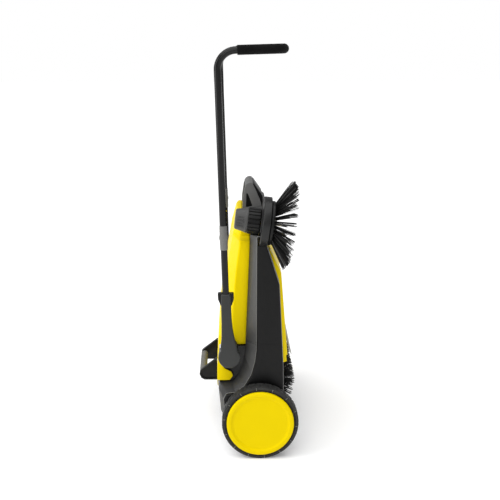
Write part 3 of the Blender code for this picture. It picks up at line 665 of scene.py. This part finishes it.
def side_cover(side_name):
    side = SIDES[side_name]
    rows = ((COVER_Y, 0.0004), (0.31, 0.0004), (0.3125, 0.0011), (0.3142, 0.0026), (OUTER_Y, 0.005))

    def place(x, y, z):
        """The panel thins towards its top."""
        share = min(1.0, max(0.0, (z - 0.56) / 0.17))
        return (x, side * (COVER_Y + (y - COVER_Y) * (1 - 0.85 * share * share)), z)

    body = loft([[place(x, y, z) for x, z in smooth_side(FACE, inwards)] for y, inwards in rows])
    cuts = [
        turned(pin(0.0215, side * 0.29, side * 0.33), AXLE, steps=48),
        block((-0.02, side * 0.3144, SEAM_Z + 0.006), (0.1, side * 0.33, SEAM_Z + 0.0072)),
    ]
    if side == RIGHT:
        cuts.append(drum_room())
    body = combined(body, cuts)
    place_on_side(side_name, "side_panel", body, "side_panel", "chassis", "side_cover", 40)


def edge_painted_highlight(side_name):
    """A painted highlight: the thin light grey rim where the frame meets its panel."""
    line = [(x, SIDES[side_name] * 0.3034, z) for x, z in smooth_side(FACE)]
    painted_highlight = sweep(line, 0.0011, 10, closed=True)
    place_on_side(side_name, "side_edge_painted_highlight", painted_highlight, "painted_highlight", "chassis")


for name in SIDES:
    side_frame(name)
    side_cover(name)
    edge_painted_highlight(name)


# Rear housing, front cross member, carry handle, foot and seal


def bent_sheet(path, half_width, thickness, radius=0.02):
    """A sheet bent along an (x, z) path, its bends rounded, thickened to the right of the path."""
    line = [tuple(p) for p in fillet(path, radius, 6, closed=False)]
    other = []
    for i, here in enumerate(line):
        before = Vector(line[max(0, i - 1)])
        after = Vector(line[min(len(line) - 1, i + 1)])
        ahead = (after - before).normalized()
        other.append(Vector(here) + Vector((-ahead.y, ahead.x)) * thickness)
    outline = line + [tuple(p) for p in reversed(other)]
    return slab(outline, -half_width, half_width)


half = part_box("rear_housing")[1].y
shell = [
    (-0.116, 0.318), (-0.13, 0.262), (-0.132, 0.205), (-0.1245, 0.125), (-0.103, 0.092), (-0.06, 0.076),
    (0.0, 0.072), (0.036, 0.086),
]
housing = bent_sheet(shell, half, SHEET)
ribs = [block((-0.126, y - 0.0012, 0.12), (-0.119, y + 0.0012, 0.25)) for y in np.linspace(-0.2, 0.2, 9)]
housing = combined(housing, ribs, "UNION")
place_piece("rear_housing_shell", rounded(housing, 0.0012, 2), "black_plastic", "chassis", "rear_housing")

front = [(-0.035, 0.764), (-0.035, 0.778), (0.01, 0.786), (0.03, 0.776), (0.038, 0.735), (0.036, 0.69)]
member = bent_sheet(front, half, SHEET, radius=0.01)
member = combined(member, [drum_room()])
place_piece(
    "front_cross_moulding", rounded(member, 0.0012, 2), "frame_plastic", "chassis", "front_cross_member"
)

outer = [
    (-0.0525, 0.7792), (-0.0515, 0.805), (-0.0455, 0.846), (-0.0385, 0.863), (-0.029, 0.869),
    (-0.0195, 0.8685), (-0.006, 0.841), (0.0105, 0.8), (0.0125, 0.7876), (0.01, 0.7872), (-0.035, 0.7792),
]
soft = [0.001, 0.02, 0.012, 0.01, 0.01, 0.006, 0.02, 0.01, 0.001, 0.001, 0.001]
window = [(-0.0405, 0.7835), (-0.0385, 0.838), (-0.031, 0.824), (-0.018, 0.787)]
window = fillet(window, [0.002, 0.003, 0.005, 0.002])
brackets = []
for near, far in ((-0.075, -0.0615), (0.0615, 0.075)):
    bracket = combined(slab(fillet(outer, soft, 5), near, far), [slab(window, -0.08, 0.08)])
    brackets.append(rounded(bracket, 0.0022, 4, 40))
place_piece(
    "carry_handle_brackets", merged(brackets), "bracket", "chassis", "carry_handle"
)
top = [(-0.044, 0.856), (-0.038, 0.863), (-0.029, 0.8686), (-0.0165, 0.868), (-0.016, 0.856)]
top = slab(fillet(top, [0.001, 0.008, 0.008, 0.003, 0.001], 5), -0.0715, 0.0715)
grooves = [
    block((-0.05, y - 0.0009, 0.8678), (0.0, y + 0.0009, 0.872)) for y in np.linspace(-0.05, 0.05, 11)
]
top = combined(rounded(top, 0.0012, 3), grooves)
place_piece("carry_handle_top_bar", top, "bracket", "chassis")
front = [
    (-0.016, 0.868), (-0.003, 0.85), (0.0165, 0.822), (0.0172, 0.796), (0.015, 0.788), (0.0065, 0.788),
    (0.0085, 0.815), (-0.013, 0.84), (-0.0185, 0.855),
]
front = slab(fillet(front, [0.003, 0.02, 0.012, 0.01, 0.002, 0.002, 0.02, 0.02, 0.002], 5), -0.0715, 0.0715)
webs = [slab(inset(window, -0.0012), near, far) for near, far in ((-0.067, -0.065), (0.065, 0.067))]
front = merged([rounded(front, 0.0012, 3), *webs])
place_piece("carry_handle_front_grip", front, "black_plastic", "chassis")

foot = fillet([(-0.072, 0), (0.03, 0), (0.024, 0.066), (-0.052, 0.066)], [0.006, 0.006, 0.002, 0.002])
pit = fillet([(-0.066, 0.005), (0.024, 0.005), (0.018, 0.08), (-0.046, 0.08)], 0.002)
foot = combined(slab(foot, -0.16, 0.16), [slab(pit, -0.155, 0.155)])
webs = [block((-0.06, y - 0.001, 0.003), (0.02, y + 0.001, 0.064)) for y in (-0.1, -0.05, 0.0, 0.05, 0.1)]
foot = combined(foot, webs, "UNION")
place_piece("parking_foot_moulding", rounded(foot, 0.001, 2), "black_plastic", "chassis", "parking_foot")

lip = fillet([(0.039, 0.079), (0.105, 0.07), (0.105, 0.073), (0.039, 0.083)], 0.0008, 3)
place_piece("rear_seal_strip", slab(lip, -0.245, 0.245), "rubber", "chassis", "rear_seal")


# Wheels


TREAD_RADIUS, BLOCK_RADIUS = 0.123, 0.12495


def wheel(side_name):
    side = SIDES[side_name]
    body = f"wheel_{side_name}"

    def part(profile, radius):
        return on_side(side, lathe(profile, radius, AXLE, steps=128))

    def tread_block(count, place, shares, radii, low, high):
        """One of count blocks of a ring round the axle, its place counted in blocks."""
        angles = [radians(place / count * 360 + share * 360 / count) for share in shares]
        rims = ((radii[0], angles), (radii[1], angles[::-1]))
        outline = [(AXLE.x + r * cos(a), AXLE.z + r * sin(a)) for r, line in rims for a in line]
        return rounded(slab(outline, side * low, side * high), 0.0006, 2)

    cap = [
        (0, 0.3706), (0.06, 0.37), (0.0885, 0.3704), (0.0925, 0.3722), (0.0965, 0.3746), (0.1055, 0.3748),
        (0.1094, 0.3725), (0.1094, 0.364), (0.104, 0.364), (0.104, 0.3665), (0, 0.3665),
    ]
    place_on_side(
        side_name, "hub_cap_disc", part(cap, 0.0016), "hub_cap", body, "hub_cap"
    )

    shape = [
        (0.1118, 0.329), (0.1135, 0.327), (0.115, 0.329), (0.1225, 0.329), (0.1236, 0.33), (0.1236, 0.363),
        (0.1225, 0.3642), (0.115, 0.3642), (0.1135, 0.3668), (0.1118, 0.3665),
    ]
    blocks = [part(shape, 0.0012)]
    shares, radii = (-0.4, -0.2, 0.0, 0.2, 0.4), (TREAD_RADIUS, BLOCK_RADIUS)
    for k in range(28):
        blocks.append(tread_block(28, k, shares, radii, 0.3292, 0.3455))
        blocks.append(tread_block(28, k + 0.5, shares, radii, 0.3475, 0.3642))
    shares, radii = np.linspace(-0.46, 0.46, 7), (0.1158, 0.1243)
    # The ticks are ridges on the tyre's side; their light grey colour is a painted highlight.
    ticks = []
    for k in range(14):
        blocks.append(tread_block(14, k + 0.25, shares, radii, 0.364, 0.3668))
        angle = (k + 0.75) / 14 * tau
        ends = [AXLE + Vector((r * cos(angle), side * 0.3666, r * sin(angle))) for r in (0.1152, 0.1236)]
        ticks.append(sweep(ends, 0.0008, 8))
    place_on_side(side_name, "tyre_side_ticks", merged(ticks), "painted_highlight", body)
    place_on_side(side_name, "tyre_tread", merged(blocks), "tyre", body, "tyre")

    hub = [
        (0.018, 0.268), (0.018, 0.33), (0.03, 0.336), (0.1073, 0.34), (0.1073, 0.3302), (0.1114, 0.3302),
        (0.1114, 0.3646), (0.1098, 0.3652), (0.1098, 0.346), (0.03, 0.346), (0.018, 0.36), (0.0125, 0.36),
        (0.0125, 0.268),
    ]
    rim = part(hub, 0.0008)
    spokes = []
    for k in range(8):
        angle = tau * (k + 0.5) / 8
        blade = block((0.026, side * 0.3362, -0.0015), (0.1065, side * 0.328, 0.0015))
        blade.transform(Matrix.Translation(AXLE) @ Matrix.Rotation(-angle, 4, "Y"))
        spokes.append(rounded(blade, 0.0005, 2))
    place_on_side(side_name, "wheel_rim", merged([rim, *spokes]), "black_plastic", body, "wheel_hub")


for name in SIDES:
    wheel(name)


# Main roller: rows of tufts in gentle spirals on its core

rng = np.random.default_rng(7)
low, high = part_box("roller_bristles")
roller_radius = (high.z - low.z) / 2
roller_half = high.y


def roller_tufts():
    strand_list = []
    core = 0.0295
    for row in range(14):
        for k in range(27):
            y = -roller_half + 0.008 + k * (2 * roller_half - 0.016) / 26
            base = tau * row / 14 + 0.9 * y / roller_half
            for _ in range(12):
                angle = base + rng.normal(0.0, 0.016)
                root = ROLLER + Vector((cos(angle) * core, y + rng.normal(0, 0.0016), sin(angle) * core))
                spread = base + rng.normal(0.0, 0.075)
                reach = min(roller_radius - 0.0005, roller_radius - abs(rng.normal(0.0, 0.0025)))
                across = float(
                    np.clip(y + rng.normal(0, 0.0075), -roller_half + 0.0005, roller_half - 0.0005)
                )
                tip = ROLLER + Vector((cos(spread) * reach, across, sin(spread) * reach))
                strand_list.append((root, tip, 0.001))
    return strand_list


place_piece(
    "roller_tufts", bristle_mesh(roller_tufts(), 3), "bristles", "roller", "roller_bristles", angle=60
)
core = [
    (0, -0.3003), (0.008, -0.3003), (0.008, -0.2415), (0.0298, -0.24), (0.0298, 0.24), (0.008, 0.2415),
    (0.008, 0.2618), (0, 0.2618),
]
place_piece("roller_shaft", lathe(core, 0.0008, ROLLER, steps=64), "black_plastic", "roller", "roller_core")


# Side brush: separate tufts set in its plate


BRUSH_TUFTS, TUFT_RING = 28, 0.0575


def brush_ring(k):
    """The direction from the brush's middle to one of its tufts."""
    angle = tau * k / BRUSH_TUFTS
    return BRUSH_UP * cos(angle) + Y_AXIS * sin(angle)


def brush_tufts():
    """Splayed tufts: share 0 is a tuft's upper side, which reaches out furthest, and 1 its lower one."""
    strand_list = []
    for k in range(BRUSH_TUFTS):
        out = brush_ring(k)
        angle = tau * k / BRUSH_TUFTS
        around = -BRUSH_UP * sin(angle) + Y_AXIS * cos(angle)
        for _ in range(26):
            turn, rise = rng.uniform(-1, 1), rng.uniform(-1, 1)
            if turn * turn + rise * rise > 1.0:
                turn, rise = turn * 0.6, rise * 0.6
            root = BRUSH + BRUSH_AXIS * 0.0006 + out * (TUFT_RING + rise * 0.0062) + around * turn * 0.0055
            share = (1 - rise) / 2
            radius = 0.1465 + (0.1195 - 0.1465) * share + rng.normal(0, 0.0012)
            along = 0.0485 + (0.068 - 0.0485) * share + rng.normal(0, 0.001)
            wide = turn * 0.006 + rng.normal(0, 0.001)
            tip = BRUSH + BRUSH_AXIS * min(along, 0.0682) + out * min(radius, 0.1485) + around * wide
            strand_list.append((root, tip, 0.00085))
    return strand_list


place_piece(
    "side_brush_tufts", bristle_mesh(brush_tufts(), 4), "bristles", "side_brush", "brush_bristles", angle=60
)
pale = brush_tufts()[::11]
place_piece(
    "side_brush_pale_strands", bristle_mesh(pale, 4), "light_bristles", "side_brush",
    angle=60,
)

plate = [
    (0.0066, -0.0145), (0.013, -0.0145), (0.013, -0.0105), (0.069, -0.0105), (0.0708, -0.0085),
    (0.0708, -0.0015), (0.069, 0.0002), (0.05, 0.0002), (0.047, -0.002), (0.02, -0.002), (0.017, 0.0002),
    (0.0066, 0.0002),
]
hub = lathe(plate, 0.0008, BRUSH, BRUSH_AXIS, 96)
socket = [(0.0055, -0.002), (0.0075, -0.002), (0.0072, 0.0018), (0.0058, 0.0018)]
sockets = []
for k in range(BRUSH_TUFTS):
    sockets.append(lathe(socket, 0.0003, BRUSH + brush_ring(k) * TUFT_RING, BRUSH_AXIS, 16, round_steps=2))
place_piece("side_brush_plate", merged([hub, *sockets]), "black_plastic", "side_brush", "brush_hub")


# Height adjuster, drum and carrier


def flutes(count, depth, share=0.62):
    """A ripple of ribs round a turned piece, with narrow grooves between them."""

    def size(angle, index):
        place = abs((angle * count / tau) % 1.0 - 0.5) * 2
        return 1.0 - depth * max(0.0, min(1.0, (place - share) / (1 - share) * 2))

    return size


cap_low, ring_low = -0.122, -0.0807
cap = [
    (0, cap_low), (0.0285, cap_low), (0.0325, cap_low + 0.003), (0.0385, -0.09), (0.0402, -0.088),
    (0.0405, -0.081), (0.0066, -0.081), (0.0066, -0.107), (0, -0.107),
]
knob = lathe(cap, 0.002, BRUSH, BRUSH_AXIS, 96)
ribs = []
for k in range(-2, 3):
    angle = radians(k * 13)
    out = BRUSH_UP * sin(angle) - Y_AXIS * cos(angle)
    start = BRUSH + BRUSH_AXIS * -0.1145 + out * 0.0342
    end = BRUSH + BRUSH_AXIS * -0.096 + out * 0.0379
    ribs.append(sweep([start, start.lerp(end, 0.5), end], 0.0016, 10))
place_piece("adjuster_knob", merged([knob, *ribs]), "knob", "adjuster", "adjuster_cap")

grip = [
    (0.0068, ring_low), (0.0412, ring_low), (0.0425, ring_low + 0.002), (0.0425, -0.044), (0.0412, -0.0422),
    (0.0068, -0.0422),
]
body = lathe(grip, 0.0006, BRUSH, BRUSH_AXIS, 480, flutes(20, 0.075))
place_piece("adjuster_fluted_ring", body, "black_plastic", "adjuster", "adjuster_ring", angle=50)

drum_radius = 0.082
inside = drum_radius - 0.004
drum = [
    (drum_radius, -0.0122), (drum_radius, -0.0345), (drum_radius - 0.0025, -0.0375), (0.046, -0.0378),
    (0.044, -0.04), (0.0068, -0.0405), (0.0068, -0.034), (inside, -0.034), (inside, -0.0122),
]
shell = lathe(drum, 0.0014, BRUSH, BRUSH_AXIS, 128)
slot_low = BRUSH + Vector((-0.0435, -0.028, -0.103))
shell = combined(shell, [block(slot_low, slot_low + Vector((0.0315, 0.056, 0.05)))])
place_piece("brush_drum_shell", shell, "drum", "chassis", "brush_drum", angle=40)

spindle = [(0, -0.105), (0.005, -0.105), (0.006, -0.104), (0.006, 0.0285), (0.0048, 0.03), (0, 0.03)]
spindle = lathe(spindle, 0.0004, BRUSH, BRUSH_AXIS, 40)
place_piece("brush_spindle_rod", spindle, "steel", "brush_carrier", "brush_spindle")
nut = turned([(0.0072, 0.0006), (0.0125, 0.0006), (0.0125, 0.012), (0.0072, 0.012)], BRUSH, BRUSH_AXIS, 6)
place_piece("spindle_hex_nut", rounded(nut, 0.0006, 2), "grey_plastic", "brush_carrier", "spindle_nut")


# Push handle


def pchip(x, y, at):
    """A smooth curve through (x, y) that keeps the points' own ups and downs."""
    x, y, at = (np.asarray(v, float) for v in (x, y, at))
    h, d = np.diff(x), np.diff(y) / np.diff(x)
    m = np.zeros_like(y)
    m[0], m[-1] = d[0], d[-1]
    for i in range(1, len(y) - 1):
        if d[i - 1] * d[i] > 0:
            a, b = 2 * h[i] + h[i - 1], h[i] + 2 * h[i - 1]
            m[i] = (a + b) / (a / d[i - 1] + b / d[i])
    k = np.clip(np.searchsorted(x, at) - 1, 0, len(h) - 1)
    t = (at - x[k]) / h[k]
    return (
        y[k] * (1 + 2 * t) * (1 - t) ** 2
        + m[k] * h[k] * t * (1 - t) ** 2
        + y[k + 1] * t * t * (3 - 2 * t)
        + m[k + 1] * h[k] * t * t * (t - 1)
    )


ARM_INNER_Y, ARM_OUTER_Y, ARM_TOP_Z = 0.332, 0.364, 0.521
JOINT_Z, TUBE_GAP = 0.741, 0.0004


def arm_outline():
    """The teardrop outline of the handle's arm, from its round foot up to its narrow top."""
    heights = np.linspace(0.3735, ARM_TOP_Z + 0.04, 24)
    half = pchip(
        [0.3735, 0.39, 0.4056, 0.44, 0.473, 0.561], [0.0268, 0.025, 0.0218, 0.018, 0.0165, 0.0152], heights
    )
    middle = pchip(
        [0.3735, 0.405, 0.45, 0.561], [-0.1006, -0.103, handle_x(0.45), handle_x(0.561)], heights
    )
    foot = arc((PIVOT.x, PIVOT.z), 0.035, 142, 398, 36)
    right = [(m + h, z) for m, h, z in zip(middle, half, heights)]
    left = [(m - h, z) for m, h, z in zip(middle, half, heights)]
    return foot + right + left[::-1]


def handle_side(side_name):
    side = SIDES[side_name]
    arm = rounded(slab(arm_outline(), side * ARM_INNER_Y, side * ARM_OUTER_Y), 0.0052, 5, 50)
    notch = block((-0.14, side * 0.32, ARM_TOP_Z - 0.0003), (-0.08, side * 0.354, 0.6))
    bore = sweep([handle_point(side, 0.45), handle_point(side, 0.6)], 0.0109, 40)
    hole = turned(pin(PIVOT_HOLE_RADIUS, side * 0.32, side * 0.358), PIVOT, steps=40)
    arm = combined(arm, [notch, bore, hole])
    place_on_side(
        side_name, "handle_arm_moulding", arm, "arm_plastic", "push_handle", "handle_arm",
        40,
    )

    rows = (
        (0.522, 0.0178), (0.531, 0.0205), (0.541, 0.0245), (0.547, 0.0252), (0.56, 0.0252), (0.5625, 0.0235)
    )
    wings = [(handle_x(z) + half, z) for z, half in rows]
    wings += [(handle_x(z) - half, z) for z, half in reversed(rows)]
    collar = rounded(slab(wings, side * 0.333, side * 0.3535), 0.0024, 3, 40)
    groove = pin(0.0017, side * 0.34325 - 0.02, side * 0.34325 + 0.02)
    cuts = [bore]
    for edge in (-1, 1):
        for k in range(5):
            z = 0.5385 + k * 0.005
            cuts.append(turned(groove, Vector((handle_x(z) + edge * 0.0262, 0, z)), steps=10))
    collar = combined(collar, cuts)
    place_on_side(
        side_name, "handle_collar_wings", collar, "black_plastic", "push_handle", "handle_collar", angle=40
    )

    line = [handle_point(side, z) for z in np.linspace(0.452, JOINT_Z - TUBE_GAP, 12)]
    lower = sweep(line, LOWER_TUBE_RADIUS, 40)
    button = handle_point(side, 0.69)
    beyond = sweep([handle_point(side, 0.44), handle_point(side, 0.76)], 0.009, 32)
    place = Vector((button.x, 0, button.z))
    opening = turned(pin(0.0056, side * 0.33, side * 0.347), place, steps=24)
    lower = combined(lower, [beyond, opening])
    place_on_side(
        side_name, "lower_tube", lower, "tube_paint", "push_handle", "handle_lower_tube", angle=40
    )

    dome = [(0, 0.3335), (0.003, 0.3336), (0.0044, 0.3345), (0.0048, 0.336), (0.0048, 0.345), (0, 0.345)]
    snap = turned([(r, side * h) for r, h in dome], place, steps=32)
    body = f"button_{side_name}"
    place_on_side(side_name, "snap_button_dome", snap, "yellow_plastic", body, "snap_button")

    joint_at = handle_point(side, JOINT_Z)
    tube_axis = Vector((-HANDLE_LEAN, 0.0, 1.0)).normalized()
    outer = [
        (0.0113, -0.038), (0.0118, -0.038), (0.0121, -0.03), (0.0121, -0.01), (0.0138, -0.003),
        (0.0138, 0.003), (0.0121, 0.01), (0.0121, 0.03), (0.0118, 0.038), (0.0113, 0.038),
    ]
    sleeve = lathe(outer, 0.0004, joint_at, tube_axis, 48, round_steps=3)
    marks = []
    for edge in (-1, 1):
        for k in range(3):
            z = (0.012 + 0.008 * k) * edge
            mark = [(0.0119, z - 0.0012), (0.0127, z), (0.0119, z + 0.0012), (0.0116, z)]
            marks.append(lathe(mark, 0.0002, joint_at, tube_axis, 48, round_steps=2))
    place_on_side(
        side_name, "tube_sleeve", merged([sleeve, *marks]), "grey_plastic", "push_handle", "handle_sleeve"
    )


for name in SIDES:
    handle_side(name)

BACK, FRONT = (-0.1308, 1.303), (0.0695, 1.309)


def handle_path(low_z):
    corners = [
        handle_point(-1, low_z), (BACK[0], -HANDLE_Y, BACK[1]), (FRONT[0], -HANDLE_Y, FRONT[1]),
        (FRONT[0], HANDLE_Y, FRONT[1]), (BACK[0], HANDLE_Y, BACK[1]), handle_point(1, low_z),
    ]
    return rounded_path(corners, (0.056, 0.04, 0.04, 0.056))


def grip_path(start_x):
    share = (start_x - BACK[0]) / (FRONT[0] - BACK[0])
    z = BACK[1] + share * (FRONT[1] - BACK[1])
    corners = [
        (start_x, -HANDLE_Y, z), (FRONT[0], -HANDLE_Y, FRONT[1]), (FRONT[0], HANDLE_Y, FRONT[1]),
        (start_x, HANDLE_Y, z),
    ]
    return rounded_path(corners, (0.04, 0.04), 10)


upper = sweep(dense(handle_path(JOINT_Z + TUBE_GAP), 0.02), UPPER_TUBE_RADIUS, 40)
place_piece("upper_tube", upper, "tube_paint", "push_handle", "handle_upper_tube", angle=40)


def foam_size(share, angle):
    """Rounded ends and a very slightly uneven skin."""
    end = min(share, 1 - share) * 1.13
    lead = 0.82 + 0.18 * sqrt(max(0.0, 1 - (1 - min(1.0, end / 0.005)) ** 2))
    return lead * (1.0 + 0.006 * sin(share * 190) * sin(angle * 3 + share * 60))


foam_line = dense(grip_path(-0.071), 0.004)
ends = [foam_line[0].lerp(foam_line[1], t) for t in (0.25, 0.5, 0.75)]
foam_line = [foam_line[0], *ends, *foam_line[1:]]
grip = sweep(foam_line, FOAM_RADIUS, 40, shape_of=foam_size)
place_piece("foam_grip", grip, "foam", "push_handle", "handle_grip", angle=60)


# Waste container: hood, tub, lip and grip

WALL, MOUTH_GAP = 0.003, 0.012

# Hood sections: z, x of the crown, x of the fold, x of the lower edge, half width, half of the crown.
HOOD_LOW = [
    (0.165, -0.1415, -0.14, -0.1385, 0.15, 0.14),
    (0.2, -0.142, -0.1402, -0.1385, 0.225, 0.17),
    (0.235, -0.142, -0.1402, -0.1385, 0.267, 0.17),
    (0.296, -0.14, -0.1385, -0.1365, 0.267, 0.17),
    (0.346, -0.1365, -0.135, -0.133, 0.262, 0.165),
    (0.35, -0.1363, -0.1348, -0.1328, 0.245, 0.165),
    (0.3535, -0.1361, -0.1346, -0.1326, 0.245, 0.165),
]
HOOD = [
    (0.354, -0.136, -0.096, -0.046, 0.245, 0.165),
    (0.485, -0.124, -0.088, -0.041, 0.245, 0.16),
    (0.6, -0.1055, -0.078, -0.0365, 0.245, 0.155),
    (0.692, -0.089, -0.066, -0.0325, 0.245, 0.15),
    (0.706, -0.0865, -0.065, -0.032, 0.243, 0.148),
    (0.712, -0.085, -0.063, -0.032, 0.198, 0.14),
    (0.745, -0.0765, -0.06, -0.036, 0.185, 0.125),
    (0.765, -0.0725, -0.0605, -0.045, 0.15, 0.105),
    (0.774, -0.069, -0.063, -0.056, 0.115, 0.085),
]


def both_halves(points, z):
    """A half section of (y, x) points and its mirror image, at a height."""
    one = [(p[1], -p[0], z) for p in points[:-1]]
    return one + [(x, -y, z) for x, y, z in reversed(one)]


def at_height(rows, column, z):
    return float(np.interp(z, [row[0] for row in rows], [row[column] for row in rows]))


def hood_section(row, wall=0.0, open_by=0.0):
    """A closed section of the hood: straight sides, a soft fold, a slightly arched crown."""
    z, crown, fold, edge, half, flat_half = row
    points = [
        (half - wall, edge + open_by), (half - wall, fold + wall * 0.6), (flat_half, crown + wall),
        (0.0, crown + wall - 0.0002),
    ]
    soft = min(0.008, 0.35 * abs(fold - crown) + 0.0005)
    return both_halves(fillet(points, [0, soft, 0.05, 0], closed=False), z)


hood = loft([hood_section(row) for row in HOOD_LOW + HOOD])
lowered = [(z - 0.003, *rest) for z, *rest in HOOD]
inner_rows = [(0.32, *HOOD[0][1:]), *HOOD[:4], *lowered[4:6], HOOD[6], lowered[7]]
hood = combined(hood, [loft([hood_section(row, WALL, MOUTH_GAP) for row in inner_rows])])
lobes = []
for side in SIDES.values():
    outline = [
        (-0.14, 0.2355), (-0.1, 0.2355), (-0.088, 0.25), (-0.094, 0.264), (-0.115, 0.275), (-0.128, 0.292),
        (-0.137, 0.312),
    ]
    soft = [0.001, 0.004, 0.007, 0.006, 0.012, 0.01, 0.002]
    lobes.append(slab(fillet(outline, soft, 4), side * 0.263, side * 0.2676))
hood = combined(hood, lobes, "UNION")
hood = rounded(hood, 0.0022, 3, 28)
place_piece("container_hood_shell", hood, "yellow_plastic", "container", "container_hood", angle=40)

# Tub sections: z, x of the deep side, half width.
TUB = [
    (0.287, 0.0978, 0.243),
    (0.308, 0.096, 0.243),
    (0.438, 0.085, 0.243),
    (0.593, 0.073, 0.243),
    (0.672, 0.036, 0.243),
    (0.684, -0.002, 0.243),
    (0.69, -0.01, 0.196),
    (0.757, -0.0325, 0.18),
]


def tub_section(z, wall=0.0):
    edge = at_height(HOOD, 3, z) + 0.0005
    deep, half = at_height(TUB, 1, z) - wall, at_height(TUB, 2, z) - wall
    above = edge - (MOUTH_GAP if wall else 0.0)
    corner = min(0.014, (deep + wall - edge) / 2.2)
    points = [(half, above), (half, deep - corner), (half - corner, deep), (0.0, deep)]
    return both_halves(fillet(points, [0, corner, corner, 0], closed=False), z)


heights = sorted({row[0] for row in TUB} | {row[0] for row in HOOD if row[0] < 0.757} | {0.52, 0.64})
tub = loft([tub_section(z) for z in heights])
inside = [0.267, *[z for z in heights if 0.287 <= z < 0.68], 0.681]
tub = combined(tub, [loft([tub_section(z, WALL) for z in inside])])
mouth = block((-0.1, -0.2335, 0.25), (0.12, 0.2335, 0.308))
below = block((-0.11, -0.26, 0.24), (0.03, 0.26, 0.3083))
tub = combined(tub, [mouth, below])
ribs = []
for y in (-0.16, -0.08, 0.0, 0.08, 0.16):
    outline = [(0.085, 0.32), (0.0975, 0.32), (0.0858, 0.44), (0.0742, 0.592), (0.062, 0.6), (0.0735, 0.44)]
    ribs.append(slab(outline, y - 0.002, y + 0.002))
tub = combined(tub, ribs, "UNION")
tub = rounded(tub, 0.0016, 3, 28)
place_piece("container_tub_shell", tub, "yellow_plastic", "container", "container_tub", angle=40)

lip = fillet(
    [(0.0968, 0.345), (0.0998, 0.345), (0.1108, 0.3052), (0.1085, 0.3052), (0.0982, 0.33)],
    [0.0005, 0.001, 0.0008, 0.0008, 0.01], 4,
)
place_piece("container_mouth_lip", slab(lip, -0.215, 0.215), "lip", "container", "container_lip")

arm = [
    (-0.143, 0.17), (-0.143, 0.25), (-0.19, 0.214), (-0.203, 0.204), (-0.206, 0.191), (-0.2, 0.177),
    (-0.188, 0.17),
]
soft = [0.0005, 0.0005, 0.01, 0.006, 0.006, 0.006, 0.006]
bar = Vector((-0.193, 0.0, 0.194))
arms = []
for side in SIDES.values():
    plate = slab(fillet(arm, soft, 4), side * 0.09, side * 0.108)
    pit = slab(fillet(inset(arm, 0.005), 0.003, 4), side * 0.1035, side * 0.118)
    arms.append(combined(rounded(plate, 0.0022, 4, 40), [pit]))
rod = lathe(pin(0.0085, -0.0995, 0.0995), 0.0005, bar, steps=32)
yoke = combined(arms[0], [arms[1], rod], "UNION")
place_piece("container_yoke_moulding", yoke, "black_plastic", "container", "container_yoke", angle=40)

profile = [(0.0089, -0.0893), (0.0112, -0.0893), (0.0118, -0.088)]
for k in range(29):
    y = -0.084 + k * 0.006
    profile += [(0.0118, y - 0.0022), (0.0125, y - 0.0016), (0.0125, y + 0.0016), (0.0118, y + 0.0022)]
profile += [(0.0118, 0.088), (0.0112, 0.0893), (0.0089, 0.0893)]
grip = turned(profile, bar, steps=48)
place_piece(
    "container_ribbed_grip", grip, "bracket", "container", "container_grip", angle=50
)


# Materials and shading of the frame's own nodes


slot_of = {part["node"]: part["material_slot"] for part in frame["record"]["subparts"]}
for node, obj in frame["nodes"].items():
    obj.data.materials.clear()
    obj.data.materials.append(LOOKS[slot_of[node]])
    if obj.hide_render:
        continue
    weld = obj.modifiers.new("weld", "WELD")
    weld.merge_threshold = 0.00001
    obj.data.shade_smooth()
    obj.data.set_sharp_from_angle(angle=radians(35))


# Floor, light and camera


def floor():
    shape = bmesh.new()
    bmesh.ops.create_grid(shape, x_segments=1, y_segments=1, size=30.0)
    made = add_object("floor", to_mesh(shape))
    made.location.z = -0.0005
    look = Finish("pale_floor", (0.93, 0.93, 0.93), 0.7)
    look.tint(look.noise(3.0, 2.0), 0.01)
    look.shader.inputs["Specular IOR Level"].default_value = 0.1
    look.shader.inputs["Emission Color"].default_value = (1.0, 1.0, 1.0, 1.0)
    look.shader.inputs["Emission Strength"].default_value = 0.12
    made.data.materials.append(look.material)


def soft_light(name, place, target, size, power):
    data = bpy.data.lights.new(name, "AREA")
    data.shape = "RECTANGLE"
    data.size, data.size_y = size
    data.energy = power
    lamp = add_object(name, data)
    lamp.location = place
    lamp.rotation_mode = "QUATERNION"
    lamp.rotation_quaternion = (Vector(target) - Vector(place)).to_track_quat("-Z", "Y")


floor()
world = bpy.data.worlds.new("studio")
bpy.context.scene.world = world
world.use_nodes = True
tree = world.node_tree
tree.nodes["Background"].inputs["Color"].default_value = (1.0, 1.0, 1.0, 1.0)
seen = tree.nodes.new("ShaderNodeLightPath").outputs["Is Camera Ray"]
strength = tree.nodes.new("ShaderNodeMapRange")
strength.inputs["To Min"].default_value = 0.38
strength.inputs["To Max"].default_value = 1.0
tree.links.new(seen, strength.inputs["Value"])
tree.links.new(strength.outputs["Result"], tree.nodes["Background"].inputs["Strength"])
sun_data = bpy.data.lights.new("overhead", "SUN")
sun_data.energy = 2.7
sun_data.angle = radians(80)
sun = add_object("overhead", sun_data)
sun.rotation_euler = (radians(8), radians(-12), 0)
soft_light("left_panel", (-2.4, -0.9, 1.5), (0, 0, 0.55), (1.2, 2.2), 26)
soft_light("front_panel", (-0.6, -3.2, 2.4), (0, 0, 0.4), (1.4, 1.4), 16)

camera_data = bpy.data.cameras.new("camera")
camera_data.lens = 58.7
camera_data.sensor_width = 36.0
camera = add_object("camera", camera_data)
camera.location = (-0.092, -2.804, 1.31)
PITCH_DOWN, YAW = 13.91, -1.37
camera.rotation_euler = (radians(90 - PITCH_DOWN), 0.0, radians(YAW))
bpy.context.scene.camera = camera
bpy.context.scene.view_settings.view_transform = "Standard"
